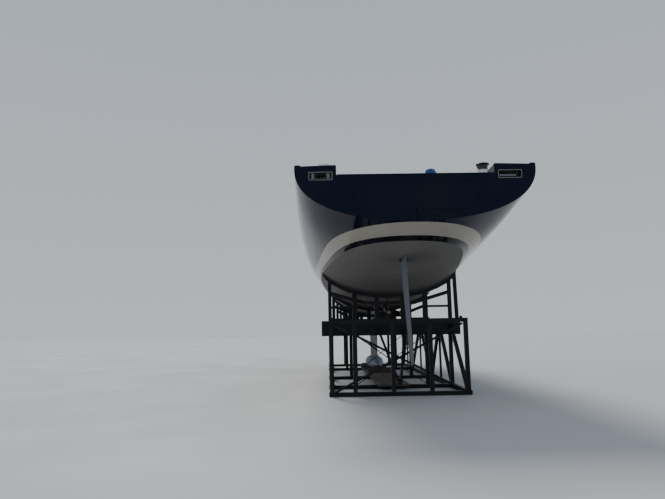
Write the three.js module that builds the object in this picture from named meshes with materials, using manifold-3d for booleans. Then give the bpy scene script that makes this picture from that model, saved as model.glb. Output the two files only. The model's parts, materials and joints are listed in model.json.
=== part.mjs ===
// A sailing yacht of 22 m, ashore in the steel cradle that holds it, with its mast unstepped.
// Millimetres: +X starboard, +Y towards the bow, +Z up. The origin is on the floor under mid-length.

import * as THREE from 'three';
import { mergeVertices } from 'three/addons/utils/BufferGeometryUtils.js';
import Module from 'manifold-3d';

const wasm = await Module();
wasm.setup();

// Driving dimensions
const LENGTH = 22000;
const STERN_Y = -LENGTH / 2;
const SEAT = 0.3; // gap between pieces that rest on each other
const RUNNING = 6; // gap round a lid or door that moves
const DECK_AFT_Z = 4620; // deck height at the transom
const DECK_RISE = 0.01; // deck height gained per unit of length
const DECK_ANGLE = THREE.MathUtils.radToDeg(Math.atan(DECK_RISE));
const WALL = 90; // thickness of the hull's wall, of its transom and of the bulwark round the deck
const DECK_THICK = 60; // thickness of the deck moulding under the planking
const TEAK = 30; // thickness of the deck planking

// Hull sections. Columns: y, half beam, sheer height, keel-line height, fullness, flare, stem lean.
const HULL_TABLE = [
  [-11000, 2380, 4820, 3710, 2.27, -0.03, 0],
  [-9400, 2430, 4800, 3300, 2.37, -0.01, 0],
  [-7400, 2490, 4800, 2970, 2.42, 0.01, 0],
  [-4800, 2520, 4810, 2520, 2.4, 0.04, 0],
  [-1800, 2520, 4830, 2370, 2.23, 0.08, 0],
  [1200, 2430, 4860, 2330, 2.1, 0.13, 0],
  [4200, 2180, 4890, 2360, 2.0, 0.2, 0],
  [6800, 1650, 4940, 2520, 1.95, 0.3, 0],
  [8800, 980, 4980, 2780, 1.85, 0.45, 0],
  [10200, 440, 5010, 3020, 1.8, 0.6, 60],
  [11000, 20, 5040, 3200, 1.8, 0.8, 200],
];
const HULL_RINGS = 40;
const HALF_POINTS = 15;
const INNER_RINGS = 20;
const INNER_HALF_POINTS = 8;
const RING_CROWDING = 0.06; // how far the rings draw together towards the bow

// Makes a manifold solid from a closed three.js geometry.
function solid(geometry) {
  const bare = geometry.index ? geometry.toNonIndexed() : geometry.clone();
  bare.deleteAttribute('normal');
  bare.deleteAttribute('uv');
  const merged = mergeVertices(bare, 1e-3);
  return new wasm.Manifold(new wasm.Mesh({
    numProp: 3,
    vertProperties: merged.attributes.position.array,
    triVerts: new Uint32Array(merged.index.array),
  }));
}

// Turns a manifold solid back into a three.js geometry with flat faces.
function geometryOf(body) {
  const mesh = body.getMesh();
  const geometry = new THREE.BufferGeometry();
  geometry.setAttribute('position', new THREE.BufferAttribute(new Float32Array(mesh.vertProperties), 3));
  geometry.setIndex(new THREE.BufferAttribute(new Uint32Array(mesh.triVerts), 1));
  const flat = geometry.toNonIndexed();
  flat.computeVertexNormals();
  return flat;
}

const union = (bodies) => bodies.reduce((sum, body) => sum.add(body));

// A closed solid through rings of points, all with the same count, each end capped by a fan.
function loft(rings) {
  const count = rings[0].length;
  const positions = [];
  const indices = [];
  for (const ring of rings) for (const point of ring) positions.push(...point);
  for (let r = 0; r + 1 < rings.length; r += 1) {
    for (let i = 0; i < count; i += 1) {
      const a = r * count + i;
      const b = r * count + ((i + 1) % count);
      indices.push(a, b, b + count, a, b + count, a + count);
    }
  }
  for (const [r, flip] of [[0, true], [rings.length - 1, false]]) {
    const centre = positions.length / 3;
    for (const axis of [0, 1, 2]) {
      positions.push(rings[r].reduce((sum, point) => sum + point[axis], 0) / count);
    }
    for (let i = 0; i < count; i += 1) {
      const a = r * count + i;
      const b = r * count + ((i + 1) % count);
      indices.push(...(flip ? [centre, b, a] : [centre, a, b]));
    }
  }
  const geometry = new THREE.BufferGeometry();
  geometry.setAttribute('position', new THREE.BufferAttribute(new Float32Array(positions), 3));
  geometry.setIndex(indices);
  const body = solid(geometry);
  if (body.volume() > 0) return body;
  return solid(geometry.setIndex(indices.reverse()));
}

// A box between two corners.
function box(low, high) {
  const size = high.map((value, axis) => value - low[axis]);
  const geometry = new THREE.BoxGeometry(...size);
  geometry.translate(...low.map((value, axis) => value + size[axis] / 2));
  return solid(geometry);
}

// A square bar between two points, wide across and deep along the direction given as its side.
function bar(from, to, wide, deep, side = [0, 1, 0]) {
  const start = new THREE.Vector3(...from);
  const along = new THREE.Vector3(...to).sub(start);
  const z = along.clone().normalize();
  const x = new THREE.Vector3(...side).addScaledVector(z, -z.dot(new THREE.Vector3(...side))).normalize();
  const y = new THREE.Vector3().crossVectors(z, x);
  const geometry = new THREE.BoxGeometry(deep, wide, along.length());
  geometry.translate(0, 0, along.length() / 2);
  geometry.applyMatrix4(new THREE.Matrix4().makeBasis(x, y, z).setPosition(start));
  return solid(geometry);
}

// A round rod between two points.
function rod(from, to, radius, segments = 16) {
  const start = new THREE.Vector3(...from);
  const along = new THREE.Vector3(...to).sub(start);
  const geometry = new THREE.CylinderGeometry(radius, radius, along.length(), segments);
  geometry.translate(0, along.length() / 2, 0);
  const turn = new THREE.Quaternion().setFromUnitVectors(new THREE.Vector3(0, 1, 0), along.normalize());
  geometry.applyQuaternion(turn);
  geometry.translate(...from);
  return solid(geometry);
}

// A bore whose flats clear a shaft of the radius given by about half a millimetre
const bore = (from, to, radius) => rod(from, to, (radius + 0.6) / Math.cos(Math.PI / 24), 24);

// A solid of revolution about +Z from [radius, height] pairs that start and end on the axis.
function turned(profile, segments = 20) {
  const geometry = new THREE.LatheGeometry(profile.map(([r, h]) => new THREE.Vector2(r, h)), segments);
  geometry.rotateX(Math.PI / 2);
  const body = solid(geometry);
  return body.volume() > 0 ? body : solid(geometry.scale(-1, 1, 1));
}

// A plate with rounded corners in the XY plane, from z low to z high.
function plate(centreX, centreY, sizeX, sizeY, radius, low, high) {
  const [x0, x1] = [centreX - sizeX / 2, centreX + sizeX / 2];
  const [y0, y1] = [centreY - sizeY / 2, centreY + sizeY / 2];
  const shape = new THREE.Shape();
  shape.moveTo(x0 + radius, y0).lineTo(x1 - radius, y0);
  shape.absarc(x1 - radius, y0 + radius, radius, -Math.PI / 2, 0);
  shape.absarc(x1 - radius, y1 - radius, radius, 0, Math.PI / 2);
  shape.absarc(x0 + radius, y1 - radius, radius, Math.PI / 2, Math.PI);
  shape.absarc(x0 + radius, y0 + radius, radius, Math.PI, Math.PI * 1.5);
  const depth = high - low;
  const geometry = new THREE.ExtrudeGeometry(shape, { depth, bevelEnabled: false, curveSegments: 4 });
  return solid(geometry.translate(0, 0, low));
}

// Interpolates every column of a table whose first column is the place, with smooth tangents.
function along(table, place) {
  const last = table.length - 1;
  let k = 0;
  while (k < last - 1 && place > table[k + 1][0]) k += 1;
  const slope = (i, column) => {
    const [a, b] = [Math.max(i - 1, 0), Math.min(i + 1, last)];
    return (table[b][column] - table[a][column]) / (table[b][0] - table[a][0]);
  };
  const span = table[k + 1][0] - table[k][0];
  const t = Math.min(Math.max((place - table[k][0]) / span, 0), 1);
  return table[0].map((_, column) => {
    const [p, q] = [table[k][column], table[k + 1][column]];
    const [m, n] = [slope(k, column) * span, slope(k + 1, column) * span];
    return (2 * t ** 3 - 3 * t ** 2 + 1) * p + (t ** 3 - 2 * t ** 2 + t) * m
      + (3 * t ** 2 - 2 * t ** 3) * q + (t ** 3 - t ** 2) * n;
  });
}

// A point of the hull's surface, or of one inset from it: angle 0 is the keel line, a quarter turn the sheer.
function hullPoint(place, angle, side, inset = 0) {
  const [, beam, sheer, keel, fullness, flare, lean] = along(HULL_TABLE, place);
  const power = 2 / fullness;
  const rise = 1 - Math.max(Math.cos(angle), 0) ** power;
  const width = (beam - inset) * ((1 - flare) * Math.sin(angle) ** power + flare * rise);
  return [side * width, place - lean * (1 - rise), keel + inset + (sheer - keel - inset) * rise];
}

function hullRing(place, half = HALF_POINTS, inset = 0) {
  const ring = [];
  for (let i = -half; i <= half; i += 1) {
    const angle = (Math.abs(i) / half) * (Math.PI / 2);
    ring.push(hullPoint(place, angle, Math.sign(i) || 1, inset));
  }
  return ring;
}

const sheerHalf = (y) => along(HULL_TABLE, y)[1];

// The count of places given, evenly spread between two
function places(from, to, count) {
  return Array.from({ length: count }, (_, i) => from + ((to - from) * i) / (count - 1));
}

// Moves a solid made in the deck's frame (y from the transom, z above the deck) into the yacht's frame.
const fromDeck = (body) => body.rotate([DECK_ANGLE, 0, 0]).translate([0, STERN_Y, DECK_AFT_Z]);
const toDeck = (body) => body.translate([0, -STERN_Y, -DECK_AFT_Z]).rotate([-DECK_ANGLE, 0, 0]);

// Reach of the solids that only cut: out past the hull, down through the deck, up above it
const BEYOND = 3000;
const UNDER_DECK = 110;
const OVER_DECK = 100;
const OVER_ALL = 900;

// Deck layout, in the deck's frame
const CORNER_DEPTH = 450; // length of the raised quarter boxes at the transom
const CORNER_INNER = 1560; // half width of the lowered middle of the transom
const BOW_WALL = 520; // solid stem ahead of the deck
const HELM_WELL = { from: 2300, to: 4950, half: 1700, depth: 300 };
const GUEST_WELL = { from: 4950, to: 8300, half: 1300, depth: 480 };
const TUB_WALL = 40;
const BENCH = { wide: 460, drop: 90 };
const COAMING = { wide: 170, high: 230 };
const PASSAGE = { half: 430, door: 380 }; // between the wells, and at the companionway
const HOUSE = { from: 8360, to: 13000 };
const SALOON = { from: 8600, to: 12400, half: 1150, depth: 1500 };
const MAST = { y: 13900, long: 460, wide: 300, high: 70, corner: 120 };
// Lids. Columns: name, centre x, centre y, size x, size y.
const LIDS = [
  ['lazarette_lid_port', -760, 1350, 620, 760],
  ['lazarette_lid_stbd', 760, 1350, 620, 760],
  ['foredeck_hatch_aft', 0, 15250, 620, 620],
  ['foredeck_hatch_fwd', 0, 17350, 860, 860],
  ['anchor_locker_lid', 0, 19900, 640, 760],
];
const LID_THICK = 36;
const LID_CORNER = 60; // radius of the corners of the openings for the lids
const LID_REST = 30; // width of the rim that a lid rests on

// Transom door, in the yacht's frame
const DOOR = { top: 4500, bottom: 3935, halfTop: 1380, halfBottom: 1080, thick: 60 };
const DOOR_HINGE = { y: STERN_Y - 20, z: DOOR.bottom - 10 };
const GARAGE = { half: 1000, top: 4440, bottom: 4010 }; // the mouth behind the door

function doorShape(grow, from, to) {
  const shape = new THREE.Shape();
  const [foot, head] = [DOOR.halfBottom + grow, DOOR.halfTop + grow];
  shape.moveTo(-foot, DOOR.bottom - grow).lineTo(foot, DOOR.bottom - grow);
  shape.lineTo(head, DOOR.top + grow).lineTo(-head, DOOR.top + grow);
  const geometry = new THREE.ExtrudeGeometry(shape, { depth: to - from, bevelEnabled: false });
  return solid(geometry.rotateX(Math.PI / 2).translate(0, to, 0));
}

// Keel, rudder and propeller
const KEEL = { y: -150, chordTop: 1750, chordLow: 1350, thickTop: 290, thickLow: 250 };
const BULB = { y: -100, long: 3800, half: 320, low: 165, high: 660 };
const RUDDER = { y: -8900, rake: 15, gap: 60, long: 2400, stock: 50, bush: 100, bushLong: 320 };
// Rudder blade. Columns: distance below the top, chord ahead of the stock, chord behind it, thickness.
const BLADE_TABLE = [
  [0, 215, 405, 118],
  [800, 150, 415, 96],
  [1600, 60, 415, 72],
  [2400, -70, 405, 42],
];
const SHAFT = { y: -5440, z: 2120, slope: 7, radius: 32, long: 3300 };
const PROPELLER = { hub: 75, blades: 3, behind: 20, phase: 98 };
// Propeller blade. Columns: radius, chord, thickness, pitch in degrees.
const PROPELLER_TABLE = [
  [50, 90, 30, 52],
  [150, 175, 22, 36],
  [240, 190, 14, 27],
  [300, 120, 9, 22],
  [330, 36, 6, 21],
];
const STRUT = { ahead: 420, barrel: 62, long: 230, chord: 150, thick: 34 };

// A streamlined section of the chord ahead of and behind its origin, in the XY plane.
function foil(ahead, behind, thick, z, steps = 8) {
  const side = (sign, from, to) => places(from, to, steps + 1).slice(0, -1).map((turn) => {
    const t = (1 - Math.cos(turn * Math.PI)) / 2;
    const form = 2.97 * Math.sqrt(t) - 1.26 * t - 3.52 * t ** 2 + 2.84 * t ** 3 - 1.03 * t ** 4;
    return [sign * thick * form / 2, ahead - (ahead + behind) * t, z];
  });
  return [...side(1, 0, 1), ...side(-1, 1, 0)];
}

// Hinges along the foot of the transom door: a pin with the door's knuckles between the hull's
const KNUCKLE = { places: [-800, 0, 800], half: 60, held: 30, lug: 40, radius: 17, pin: 8 };
function doorKnuckles() {
  const { y, z } = DOOR_HINGE;
  return KNUCKLE.places.map((x) => union([
    rod([x - KNUCKLE.held, y, z], [x + KNUCKLE.held, y, z], KNUCKLE.radius, 16),
    box([x - KNUCKLE.held, y - 4, z], [x + KNUCKLE.held, STERN_Y + 20, z + KNUCKLE.lug]),
    rod([x - KNUCKLE.half, y, z], [x + KNUCKLE.half, y, z], KNUCKLE.pin, 12),
  ]));
}

function hullKnuckles() {
  const { y, z } = DOOR_HINGE;
  return KNUCKLE.places.flatMap((x) => [-1, 1].map((end) => {
    const [near, far] = [x + end * (KNUCKLE.held + SEAT), x + end * (KNUCKLE.half + 10)];
    const barrel = rod([near, y, z], [far, y, z], KNUCKLE.radius, 16);
    const foot = box([Math.min(near, far), y - 6, z - 60], [Math.max(near, far), STERN_Y + 10, z]);
    return barrel.add(foot).subtract(bore([x - 100, y, z], [x + 100, y, z], KNUCKLE.pin));
  }));
}

const hullShell = loft(places(0, 1, HULL_RINGS).map((t) => hullRing(
  STERN_Y + LENGTH * (t + RING_CROWDING * Math.sin(Math.PI * t) * t))));
const hullBelow = hullShell.translate([0, 0, -SEAT]);

// The space inside the hull's wall, open far above the sheer
const ABOVE_ALL = 5600;
function hullHollow(shrink) {
  const [from, to] = [STERN_Y + WALL + shrink, -STERN_Y - BOW_WALL - shrink];
  return loft(places(from, to, INNER_RINGS).map((y) => {
    const ring = hullRing(y, INNER_HALF_POINTS, WALL + shrink);
    const [first, last] = [ring[0], ring[ring.length - 1]];
    return [[first[0], first[1], ABOVE_ALL], ...ring, [last[0], last[1], ABOVE_ALL]];
  }));
}

function makeHull() {
  const cuts = [
    hullHollow(0),
    fromDeck(box([-CORNER_INNER, -OVER_DECK, 0], [CORNER_INNER, WALL + 20, OVER_ALL])),
    doorShape(RUNNING, STERN_Y - 50, STERN_Y + DOOR.thick + RUNNING),
    box([-GARAGE.half, STERN_Y, GARAGE.bottom], [GARAGE.half, STERN_Y + WALL + 20, GARAGE.top]),
    rudderPlace(rod([0, 0, -400], [0, 0, RUDDER.bushLong + 200], RUDDER.bush + SEAT, 24)),
    shaftPlace(rod([0, 0, 0], [0, SHAFT.long + 100, 0], SHAFT.radius + 4, 16)),
    ...[-1, 1].map(fairleadCut),
  ];
  const open = KNUCKLE.places.map((x) => box(
    [x - KNUCKLE.lug, STERN_Y - OVER_DECK, DOOR_HINGE.z - 24],
    [x + KNUCKLE.lug, STERN_Y + 26, DOOR.bottom]));
  return [...cuts, ...open].reduce((body, cut) => body.subtract(cut), hullShell).add(union(hullKnuckles()));
}

// All above the deck between two distances from the centreline
function aboveDeck(near, far, low) {
  return fromDeck(box([Math.min(near, far), -BEYOND, low], [Math.max(near, far), LENGTH + BEYOND, OVER_ALL]));
}

// Raised boxes in the quarters, between the bulwark and the lowered middle of the transom
function makeQuarterBox(side) {
  const [near, far] = [side * CORNER_INNER, side * BEYOND];
  const room = fromDeck(box([Math.min(near, far), 0, SEAT], [Math.max(near, far), CORNER_DEPTH, OVER_ALL]));
  return hullHollow(SEAT).intersect(hullShell).intersect(room).subtract(fairleadCut(side));
}

// Deck moulding: the plate that closes the hull, with an opening for each thing let into it
function makeDeckMoulding() {
  const well = ({ from, to, half }) => box(
    [-half - SEAT, from - SEAT, -UNDER_DECK], [half + SEAT, to + SEAT, OVER_DECK]);
  const cuts = [
    well(HELM_WELL),
    well(GUEST_WELL),
    box([-SALOON.half, SALOON.from, -UNDER_DECK], [SALOON.half, SALOON.to, OVER_DECK]),
    ...LIDS.map(([, x, y, sizeX, sizeY]) => plate(
      x, y, sizeX - 2 * LID_REST, sizeY - 2 * LID_REST, LID_CORNER, -UNDER_DECK, OVER_DECK)),
  ];
  const slab = box([-BEYOND, 0, -DECK_THICK], [BEYOND, LENGTH, 0]);
  const leads = [-1, 1].map((side) => toDeck(fairleadCut(side)));
  return [...cuts, ...leads].reduce(
    (body, cut) => body.subtract(cut), toDeck(hullHollow(SEAT)).intersect(slab));
}

// Lining of the saloon: floor and walls, hung under the deck moulding
function makeSaloon() {
  const { half, from, to, depth } = SALOON;
  const outer = box([-half - TUB_WALL, from - TUB_WALL, -depth - TUB_WALL],
    [half + TUB_WALL, to + TUB_WALL, -DECK_THICK - SEAT]);
  return outer.subtract(box([-half, from, -depth], [half, to, 0]));
}

// Places a solid made about the rudder stock (z up the stock, 0 at the hull) in the yacht's frame.
function rudderPlace(body) {
  return body.rotate([-RUDDER.rake, 0, 0]).translate([0, RUDDER.y, along(HULL_TABLE, RUDDER.y)[3]]);
}

// Places a solid made about the shaft (y forward along the shaft, 0 at the propeller).
function shaftPlace(body) {
  return body.rotate([SHAFT.slope, 0, 0]).translate([0, SHAFT.y, SHAFT.z]);
}

// Fairlead slots through the raised quarters of the transom
const FAIRLEAD = { x: 1870, z: 4617, half: 235, high: 83, frame: 14, proud: 6, deep: WALL - 4, floor: 4575 };
function fairleadCut(side) {
  const [from, to] = [side * FAIRLEAD.x - FAIRLEAD.half, side * FAIRLEAD.x + FAIRLEAD.half];
  const [low, high] = [FAIRLEAD.z - FAIRLEAD.high, FAIRLEAD.z + FAIRLEAD.high];
  return union([
    box([from, STERN_Y - OVER_DECK, low], [to, STERN_Y + WALL + SEAT, high]),
    box([from, STERN_Y, FAIRLEAD.floor], [to, STERN_Y + CORNER_DEPTH + OVER_DECK, high]),
  ]);
}

function makeFairlead(side) {
  const [x, z] = [side * FAIRLEAD.x, FAIRLEAD.z];
  const [w, h] = [FAIRLEAD.half - SEAT, FAIRLEAD.high - SEAT];
  const outer = box([x - w, STERN_Y - FAIRLEAD.proud, z - h], [x + w, STERN_Y + FAIRLEAD.deep, z + h]);
  const [inX, inZ] = [w - FAIRLEAD.frame, h - FAIRLEAD.frame];
  return outer.subtract(box(
    [x - inX, STERN_Y - OVER_DECK, z - inZ], [x + inX, STERN_Y + CORNER_DEPTH, z + inZ]));
}

// Deck planking, laid in the deck's frame, with an opening for each thing let into it
const PLANK_MARGIN = 14; // gap between the planking and the bulwark
const DECK_END = 8; // how far the planking stops short of the lowered transom's edge
function makeDeck() {
  const [clear, low, high] = [CORNER_DEPTH + PLANK_MARGIN, SEAT, TEAK];
  const planked = toDeck(hullHollow(PLANK_MARGIN)).intersect(
    box([-BEYOND, clear, low], [BEYOND, LENGTH, high]));
  const middle = CORNER_INNER - PLANK_MARGIN;
  const cuts = [
    ...[HELM_WELL, GUEST_WELL].map(({ from, to, half }) => box(
      [-half - COAMING.wide - SEAT, from - TUB_WALL - SEAT, -UNDER_DECK],
      [half + COAMING.wide + SEAT, to + SEAT, OVER_DECK])),
    houseLoft(SEAT, -UNDER_DECK, 2 * OVER_DECK),
    plate(0, MAST.y, MAST.wide + SEAT * 2, MAST.long + SEAT * 2, MAST.corner, -UNDER_DECK, OVER_DECK),
    ...LIDS.map(([, x, y, sizeX, sizeY]) => plate(
      x, y, sizeX + RUNNING * 2, sizeY + RUNNING * 2, LID_CORNER, -UNDER_DECK, OVER_DECK)),
    ...[-1, 1].map((side) => toDeck(fairleadCut(side))),
  ];
  const whole = planked.add(box([-middle, DECK_END, low], [middle, clear + 1, high]));
  return cuts.reduce((body, cut) => body.subtract(cut), whole);
}

// Cockpit: a helm well and a guest well in one moulding, with benches and coamings
function makeCockpit() {
  const [helm, guest] = [HELM_WELL, GUEST_WELL];
  const flange = COAMING.wide;
  const outer = union([
    box([-helm.half, helm.from, -helm.depth - TUB_WALL], [helm.half, helm.to, 0]),
    box([-guest.half, guest.from, -guest.depth - TUB_WALL], [guest.half, guest.to, 0]),
    box([-helm.half - flange, helm.from - TUB_WALL, SEAT], [helm.half + flange, helm.to, TEAK + 40]),
    box([-guest.half - flange, helm.to, SEAT], [guest.half + flange, guest.to, COAMING.high]),
    box([-helm.half, helm.from, -1], [helm.half, helm.to, 1]),
    box([-guest.half, guest.from, -1], [guest.half, guest.to, 1]),
  ]);
  const seat = -BENCH.drop;
  const cuts = [
    box([-helm.half + TUB_WALL, helm.from + TUB_WALL, -helm.depth],
      [helm.half - TUB_WALL, helm.to - TUB_WALL, OVER_ALL]),
    box([-PASSAGE.half, helm.to - 200, -helm.depth], [PASSAGE.half, guest.from + 600, OVER_ALL]),
    box([-guest.half + TUB_WALL, guest.from + 60, seat],
      [guest.half - TUB_WALL, guest.to - TUB_WALL, OVER_ALL]),
    box([-guest.half + TUB_WALL + BENCH.wide, guest.from + 500, -guest.depth],
      [guest.half - TUB_WALL - BENCH.wide, guest.to - TUB_WALL, OVER_ALL]),
    box([-PASSAGE.door, guest.to - 300, -guest.depth + 200], [PASSAGE.door, guest.to + 50, OVER_ALL]),
  ];
  return cuts.reduce((body, cut) => body.subtract(cut), outer);
}

// Coachroof. Columns: y in the deck's frame, half width at the deck, half width at the roof edge, height.
const HOUSE_TABLE = [
  [8360, 1500, 1180, 560],
  [9800, 1480, 1150, 540],
  [11200, 1360, 1000, 450],
  [12300, 1120, 720, 300],
  [13000, 820, 400, 90],
];
const HOUSE_SIDE = { share: 0.45, high: 0.72 }; // inward lean of the side, up to where the roof curves in
function houseLoft(grow, low, straight = 0) {
  return loft(places(HOUSE.from - grow, HOUSE.to + grow, 13).map((y) => {
    const [, wide, top, high] = along(HOUSE_TABLE, y);
    const [w, t, h] = [wide + grow, top + grow, high + grow];
    const side = [[w, low], [w - (w - t) * HOUSE_SIDE.share, h * HOUSE_SIDE.high]];
    const right = [...side, [t, h * 0.93], [t * 0.7, h], [t * 0.35, h * 1.03]];
    if (straight > 0) right.splice(1, 4, [w, straight]);
    const left = right.map(([x, z]) => [-x, z]).reverse();
    return [...right, ...left].map(([x, z]) => [x, y, z]);
  }));
}

const HOUSE_WALL = 50;
const DOORWAY = { half: 330, low: 40 };
const HATCHWAY_TO = 9060;
const HATCH_SLIDE = { from: 8340, to: 9160, half: 400, thick: 34, base: 596, travel: 740 };
const HATCH_RUNNER = { half: 18, lift: 24 };
const WINDOW = { from: 8900, to: 12100, low: 0.3, high: 0.66 };
function windowBand(side, push, inset = 0) {
  return loft(places(WINDOW.from + inset, WINDOW.to - inset, 9).map((y) => {
    const [, wide, top, high] = along(HOUSE_TABLE, y);
    const at = (f) => wide - (wide - top) * HOUSE_SIDE.share * (f / HOUSE_SIDE.high);
    const edge = inset / high;
    const [low, up] = [WINDOW.low + edge, WINDOW.high - edge].map((f) => [at(f), high * f]);
    return [[side * (low[0] + push[1]), y, low[1]], [side * (up[0] + push[1]), y, up[1]],
      [side * (up[0] - push[0]), y, up[1]], [side * (low[0] - push[0]), y, low[1]]];
  }));
}

function makeHouse() {
  const outer = houseLoft(0, SEAT);
  const inner = houseLoft(-HOUSE_WALL, -200);
  const cuts = [
    inner,
    box([-DOORWAY.half, HOUSE.from - 50, DOORWAY.low], [DOORWAY.half, HOUSE.from + 100, OVER_ALL]),
    box([-DOORWAY.half, HOUSE.from - 50, 300], [DOORWAY.half, HATCHWAY_TO, OVER_ALL]),
    windowBand(-1, [200, 100]),
    windowBand(1, [200, 100]),
  ];
  return cuts.reduce((body, cut) => body.subtract(cut), outer).add(makeLeafLugs());
}

// Glass set in the window openings, a little smaller than they are
function makeGlass(side) {
  return windowBand(side, [28, -4], 1);
}

function makeHatch() {
  const { from, to, half, thick, base } = HATCH_SLIDE;
  const { half: runner, lift } = HATCH_RUNNER;
  const lid = box([-half, from, base + lift], [half, to, base + lift + thick]);
  const runners = [-1, 1].map((side) => box(
    [side * (half - 20) - runner, from + 40, base + SEAT],
    [side * (half - 20) + runner, to - 20, base + lift + 1]));
  return union([lid, ...runners]);
}

// Rails on the coachroof that carry the sliding hatch
function makeHatchRails() {
  const { half, base, travel, to } = HATCH_SLIDE;
  const [wide, end, low] = [HATCH_RUNNER.half + 4, to + travel + 60, base - 116];
  const rails = [-1, 1].map((side) => box(
    [side * (half - 20) - wide, HOUSE.from + 10, low], [side * (half - 20) + wide, end, base]));
  const tie = box([-half, end - 40, low], [half, end, base]);
  return union([...rails, tie]).subtract(houseLoft(SEAT, SEAT));
}

// The door hangs on a pin at its port edge, held above and below by lugs on the coachroof.
const LEAF = { half: 350, low: 60, high: 545, thick: 30, pin: 8, lug: 14, gap: 10 };
const LEAF_PIN = { x: -LEAF.half + 14, y: HOUSE.from - LEAF.gap - LEAF.thick / 2 };
function makeCompanionDoor() {
  const face = HOUSE.from - LEAF.gap;
  const leaf = box([-LEAF.half, face - LEAF.thick, LEAF.low], [LEAF.half, face, LEAF.high]);
  const [low, high] = [LEAF.low - LEAF.lug - 4, LEAF.high + LEAF.lug + 4];
  return leaf.add(rod([LEAF_PIN.x, LEAF_PIN.y, low], [LEAF_PIN.x, LEAF_PIN.y, high], LEAF.pin, 12));
}

function makeLeafLugs() {
  const { x, y } = LEAF_PIN;
  const reach = LEAF.pin + LEAF.lug;
  const lugs = [LEAF.low - SEAT * 2 - LEAF.lug, LEAF.high + SEAT * 2].map((z) => box(
    [x - reach, y - reach, z], [x + reach, HOUSE.from + 20, z + LEAF.lug]));
  return union(lugs).subtract(bore([x, y, 0], [x, y, OVER_ALL], LEAF.pin));
}

const STEPS = { half: 300, tread: 110, thick: 16, count: 5, stringer: 40, stringerDeep: 130 };
function makeSteps() {
  const { depth, from } = SALOON;
  const { half, tread, thick, count } = STEPS;
  const [top, foot] = [[from + 30, -60], [from + 760, -depth + SEAT]];
  const slope = (foot[0] - top[0]) / (foot[1] - top[1]);
  const stringers = [-1, 1].map((side) => bar(
    [side * half, ...top], [side * half, ...foot], STEPS.stringer, STEPS.stringerDeep));
  const treads = places(-280, -depth + 260, count).map((z) => {
    const y = top[0] + (z - top[1]) * slope;
    return box([-half - 10, y - tread, z - thick], [half + 10, y + tread, z + thick]);
  });
  return union([...stringers, ...treads]).intersect(
    box([-400, from + SEAT, -depth + SEAT], [400, from + 1200, 0]));
}

function makeLid([, x, y, sizeX, sizeY]) {
  return plate(x, y, sizeX, sizeY, LID_CORNER - RUNNING, SEAT, LID_THICK);
}

// Winches. Columns: name, x, y in the deck's frame, height of the seat, scale.
const POD = { port: -1800, stbd: 1630, y: 1010, half: 190, long: 220, flat: 0.7, top: 118, high: 322 };
const WINCHES = [
  ['winch_quarter_port', POD.port, POD.y, TEAK + POD.high, 1],
  ['winch_quarter_stbd', POD.stbd, POD.y, TEAK + POD.high, 1],
  ['winch_primary_port', -1385, 6100, COAMING.high, 1.1],
  ['winch_primary_stbd', 1385, 6100, COAMING.high, 1.1],
];
const WINCH_PROFILE = [
  [0, 0], [118, 0], [118, 12], [112, 22], [109, 40], [107, 92], [112, 108],
  [138, 120], [141, 136], [124, 154], [72, 166], [30, 172], [0, 172],
];
const COVER_PROFILE = [
  [0, 172.3], [76, 173], [130, 162], [147, 140], [153, 30], [161, 30], [159, 140],
  [150, 164], [90, 186], [0, 190],
];
const CLOTH = { x: 390, y: 400, squash: 0.8 };
const CLOTH_PROFILE = [[0, 0], [112, 0], [130, 40], [112, 120], [62, 190], [0, 212]];

function makePod(name) {
  const ring = (z, half, long) => [[-1, -1], [1, -1], [1, 1], [-1, 1]].flatMap(([i, j]) => {
    const [x, y] = [POD[name], POD.y];
    const ends = [[x + i * half, y + j * long * POD.flat, z], [x + i * half * POD.flat, y + j * long, z]];
    return i * j > 0 ? ends : ends.reverse();
  });
  const top = TEAK + POD.high;
  return loft([
    ring(TEAK + SEAT * 2, POD.half, POD.long),
    ring(top - 40, POD.top + 10, POD.top + 10),
    ring(top - SEAT, POD.top, POD.top),
  ]);
}

const WHEEL = { y: 3850, x: 1050, radius: 480, rim: 17, hub: 60, thick: 60, rise: 622, spoke: 11, spokes: 5 };
const PEDESTAL = { ahead: 90, deep: 240, wide: 260, foot: 60, head: 150, headDeep: 120, boss: 42 };
function makeWheel() {
  const rim = solid(new THREE.TorusGeometry(WHEEL.radius, WHEEL.rim, 8, 32).rotateX(Math.PI / 2));
  const hub = rod([0, -WHEEL.thick / 2, 0], [0, WHEEL.thick / 2, 0], WHEEL.hub, 20);
  const spokes = places(0, WHEEL.spokes - 1, WHEEL.spokes).map((k) => {
    const turn = (k / WHEEL.spokes) * 2 * Math.PI;
    return rod([0, 0, 0], [Math.sin(turn) * WHEEL.radius, 0, Math.cos(turn) * WHEEL.radius], WHEEL.spoke, 8);
  });
  return union([rim, hub, ...spokes]);
}

function makePedestal() {
  const ring = (z, wide, deep, shift) => [[-1, -1], [1, -1], [1, 1], [-1, 1]].map(([i, j]) => [
    i * wide / 2, PEDESTAL.ahead + shift + deep / 2 + j * deep / 2, z]);
  const column = loft([
    ring(-WHEEL.rise, PEDESTAL.wide + PEDESTAL.foot, PEDESTAL.deep + PEDESTAL.foot, 0),
    ring(-WHEEL.rise + 160, PEDESTAL.wide, PEDESTAL.deep, 0),
    ring(0, PEDESTAL.wide, PEDESTAL.deep - 30, 0),
    ring(PEDESTAL.head, PEDESTAL.wide - 40, PEDESTAL.headDeep, PEDESTAL.headDeep / 2),
  ]);
  const boss = rod([0, WHEEL.thick / 2 + SEAT, 0], [0, PEDESTAL.ahead + 20, 0], PEDESTAL.boss, 16);
  return column.add(boss);
}

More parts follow.
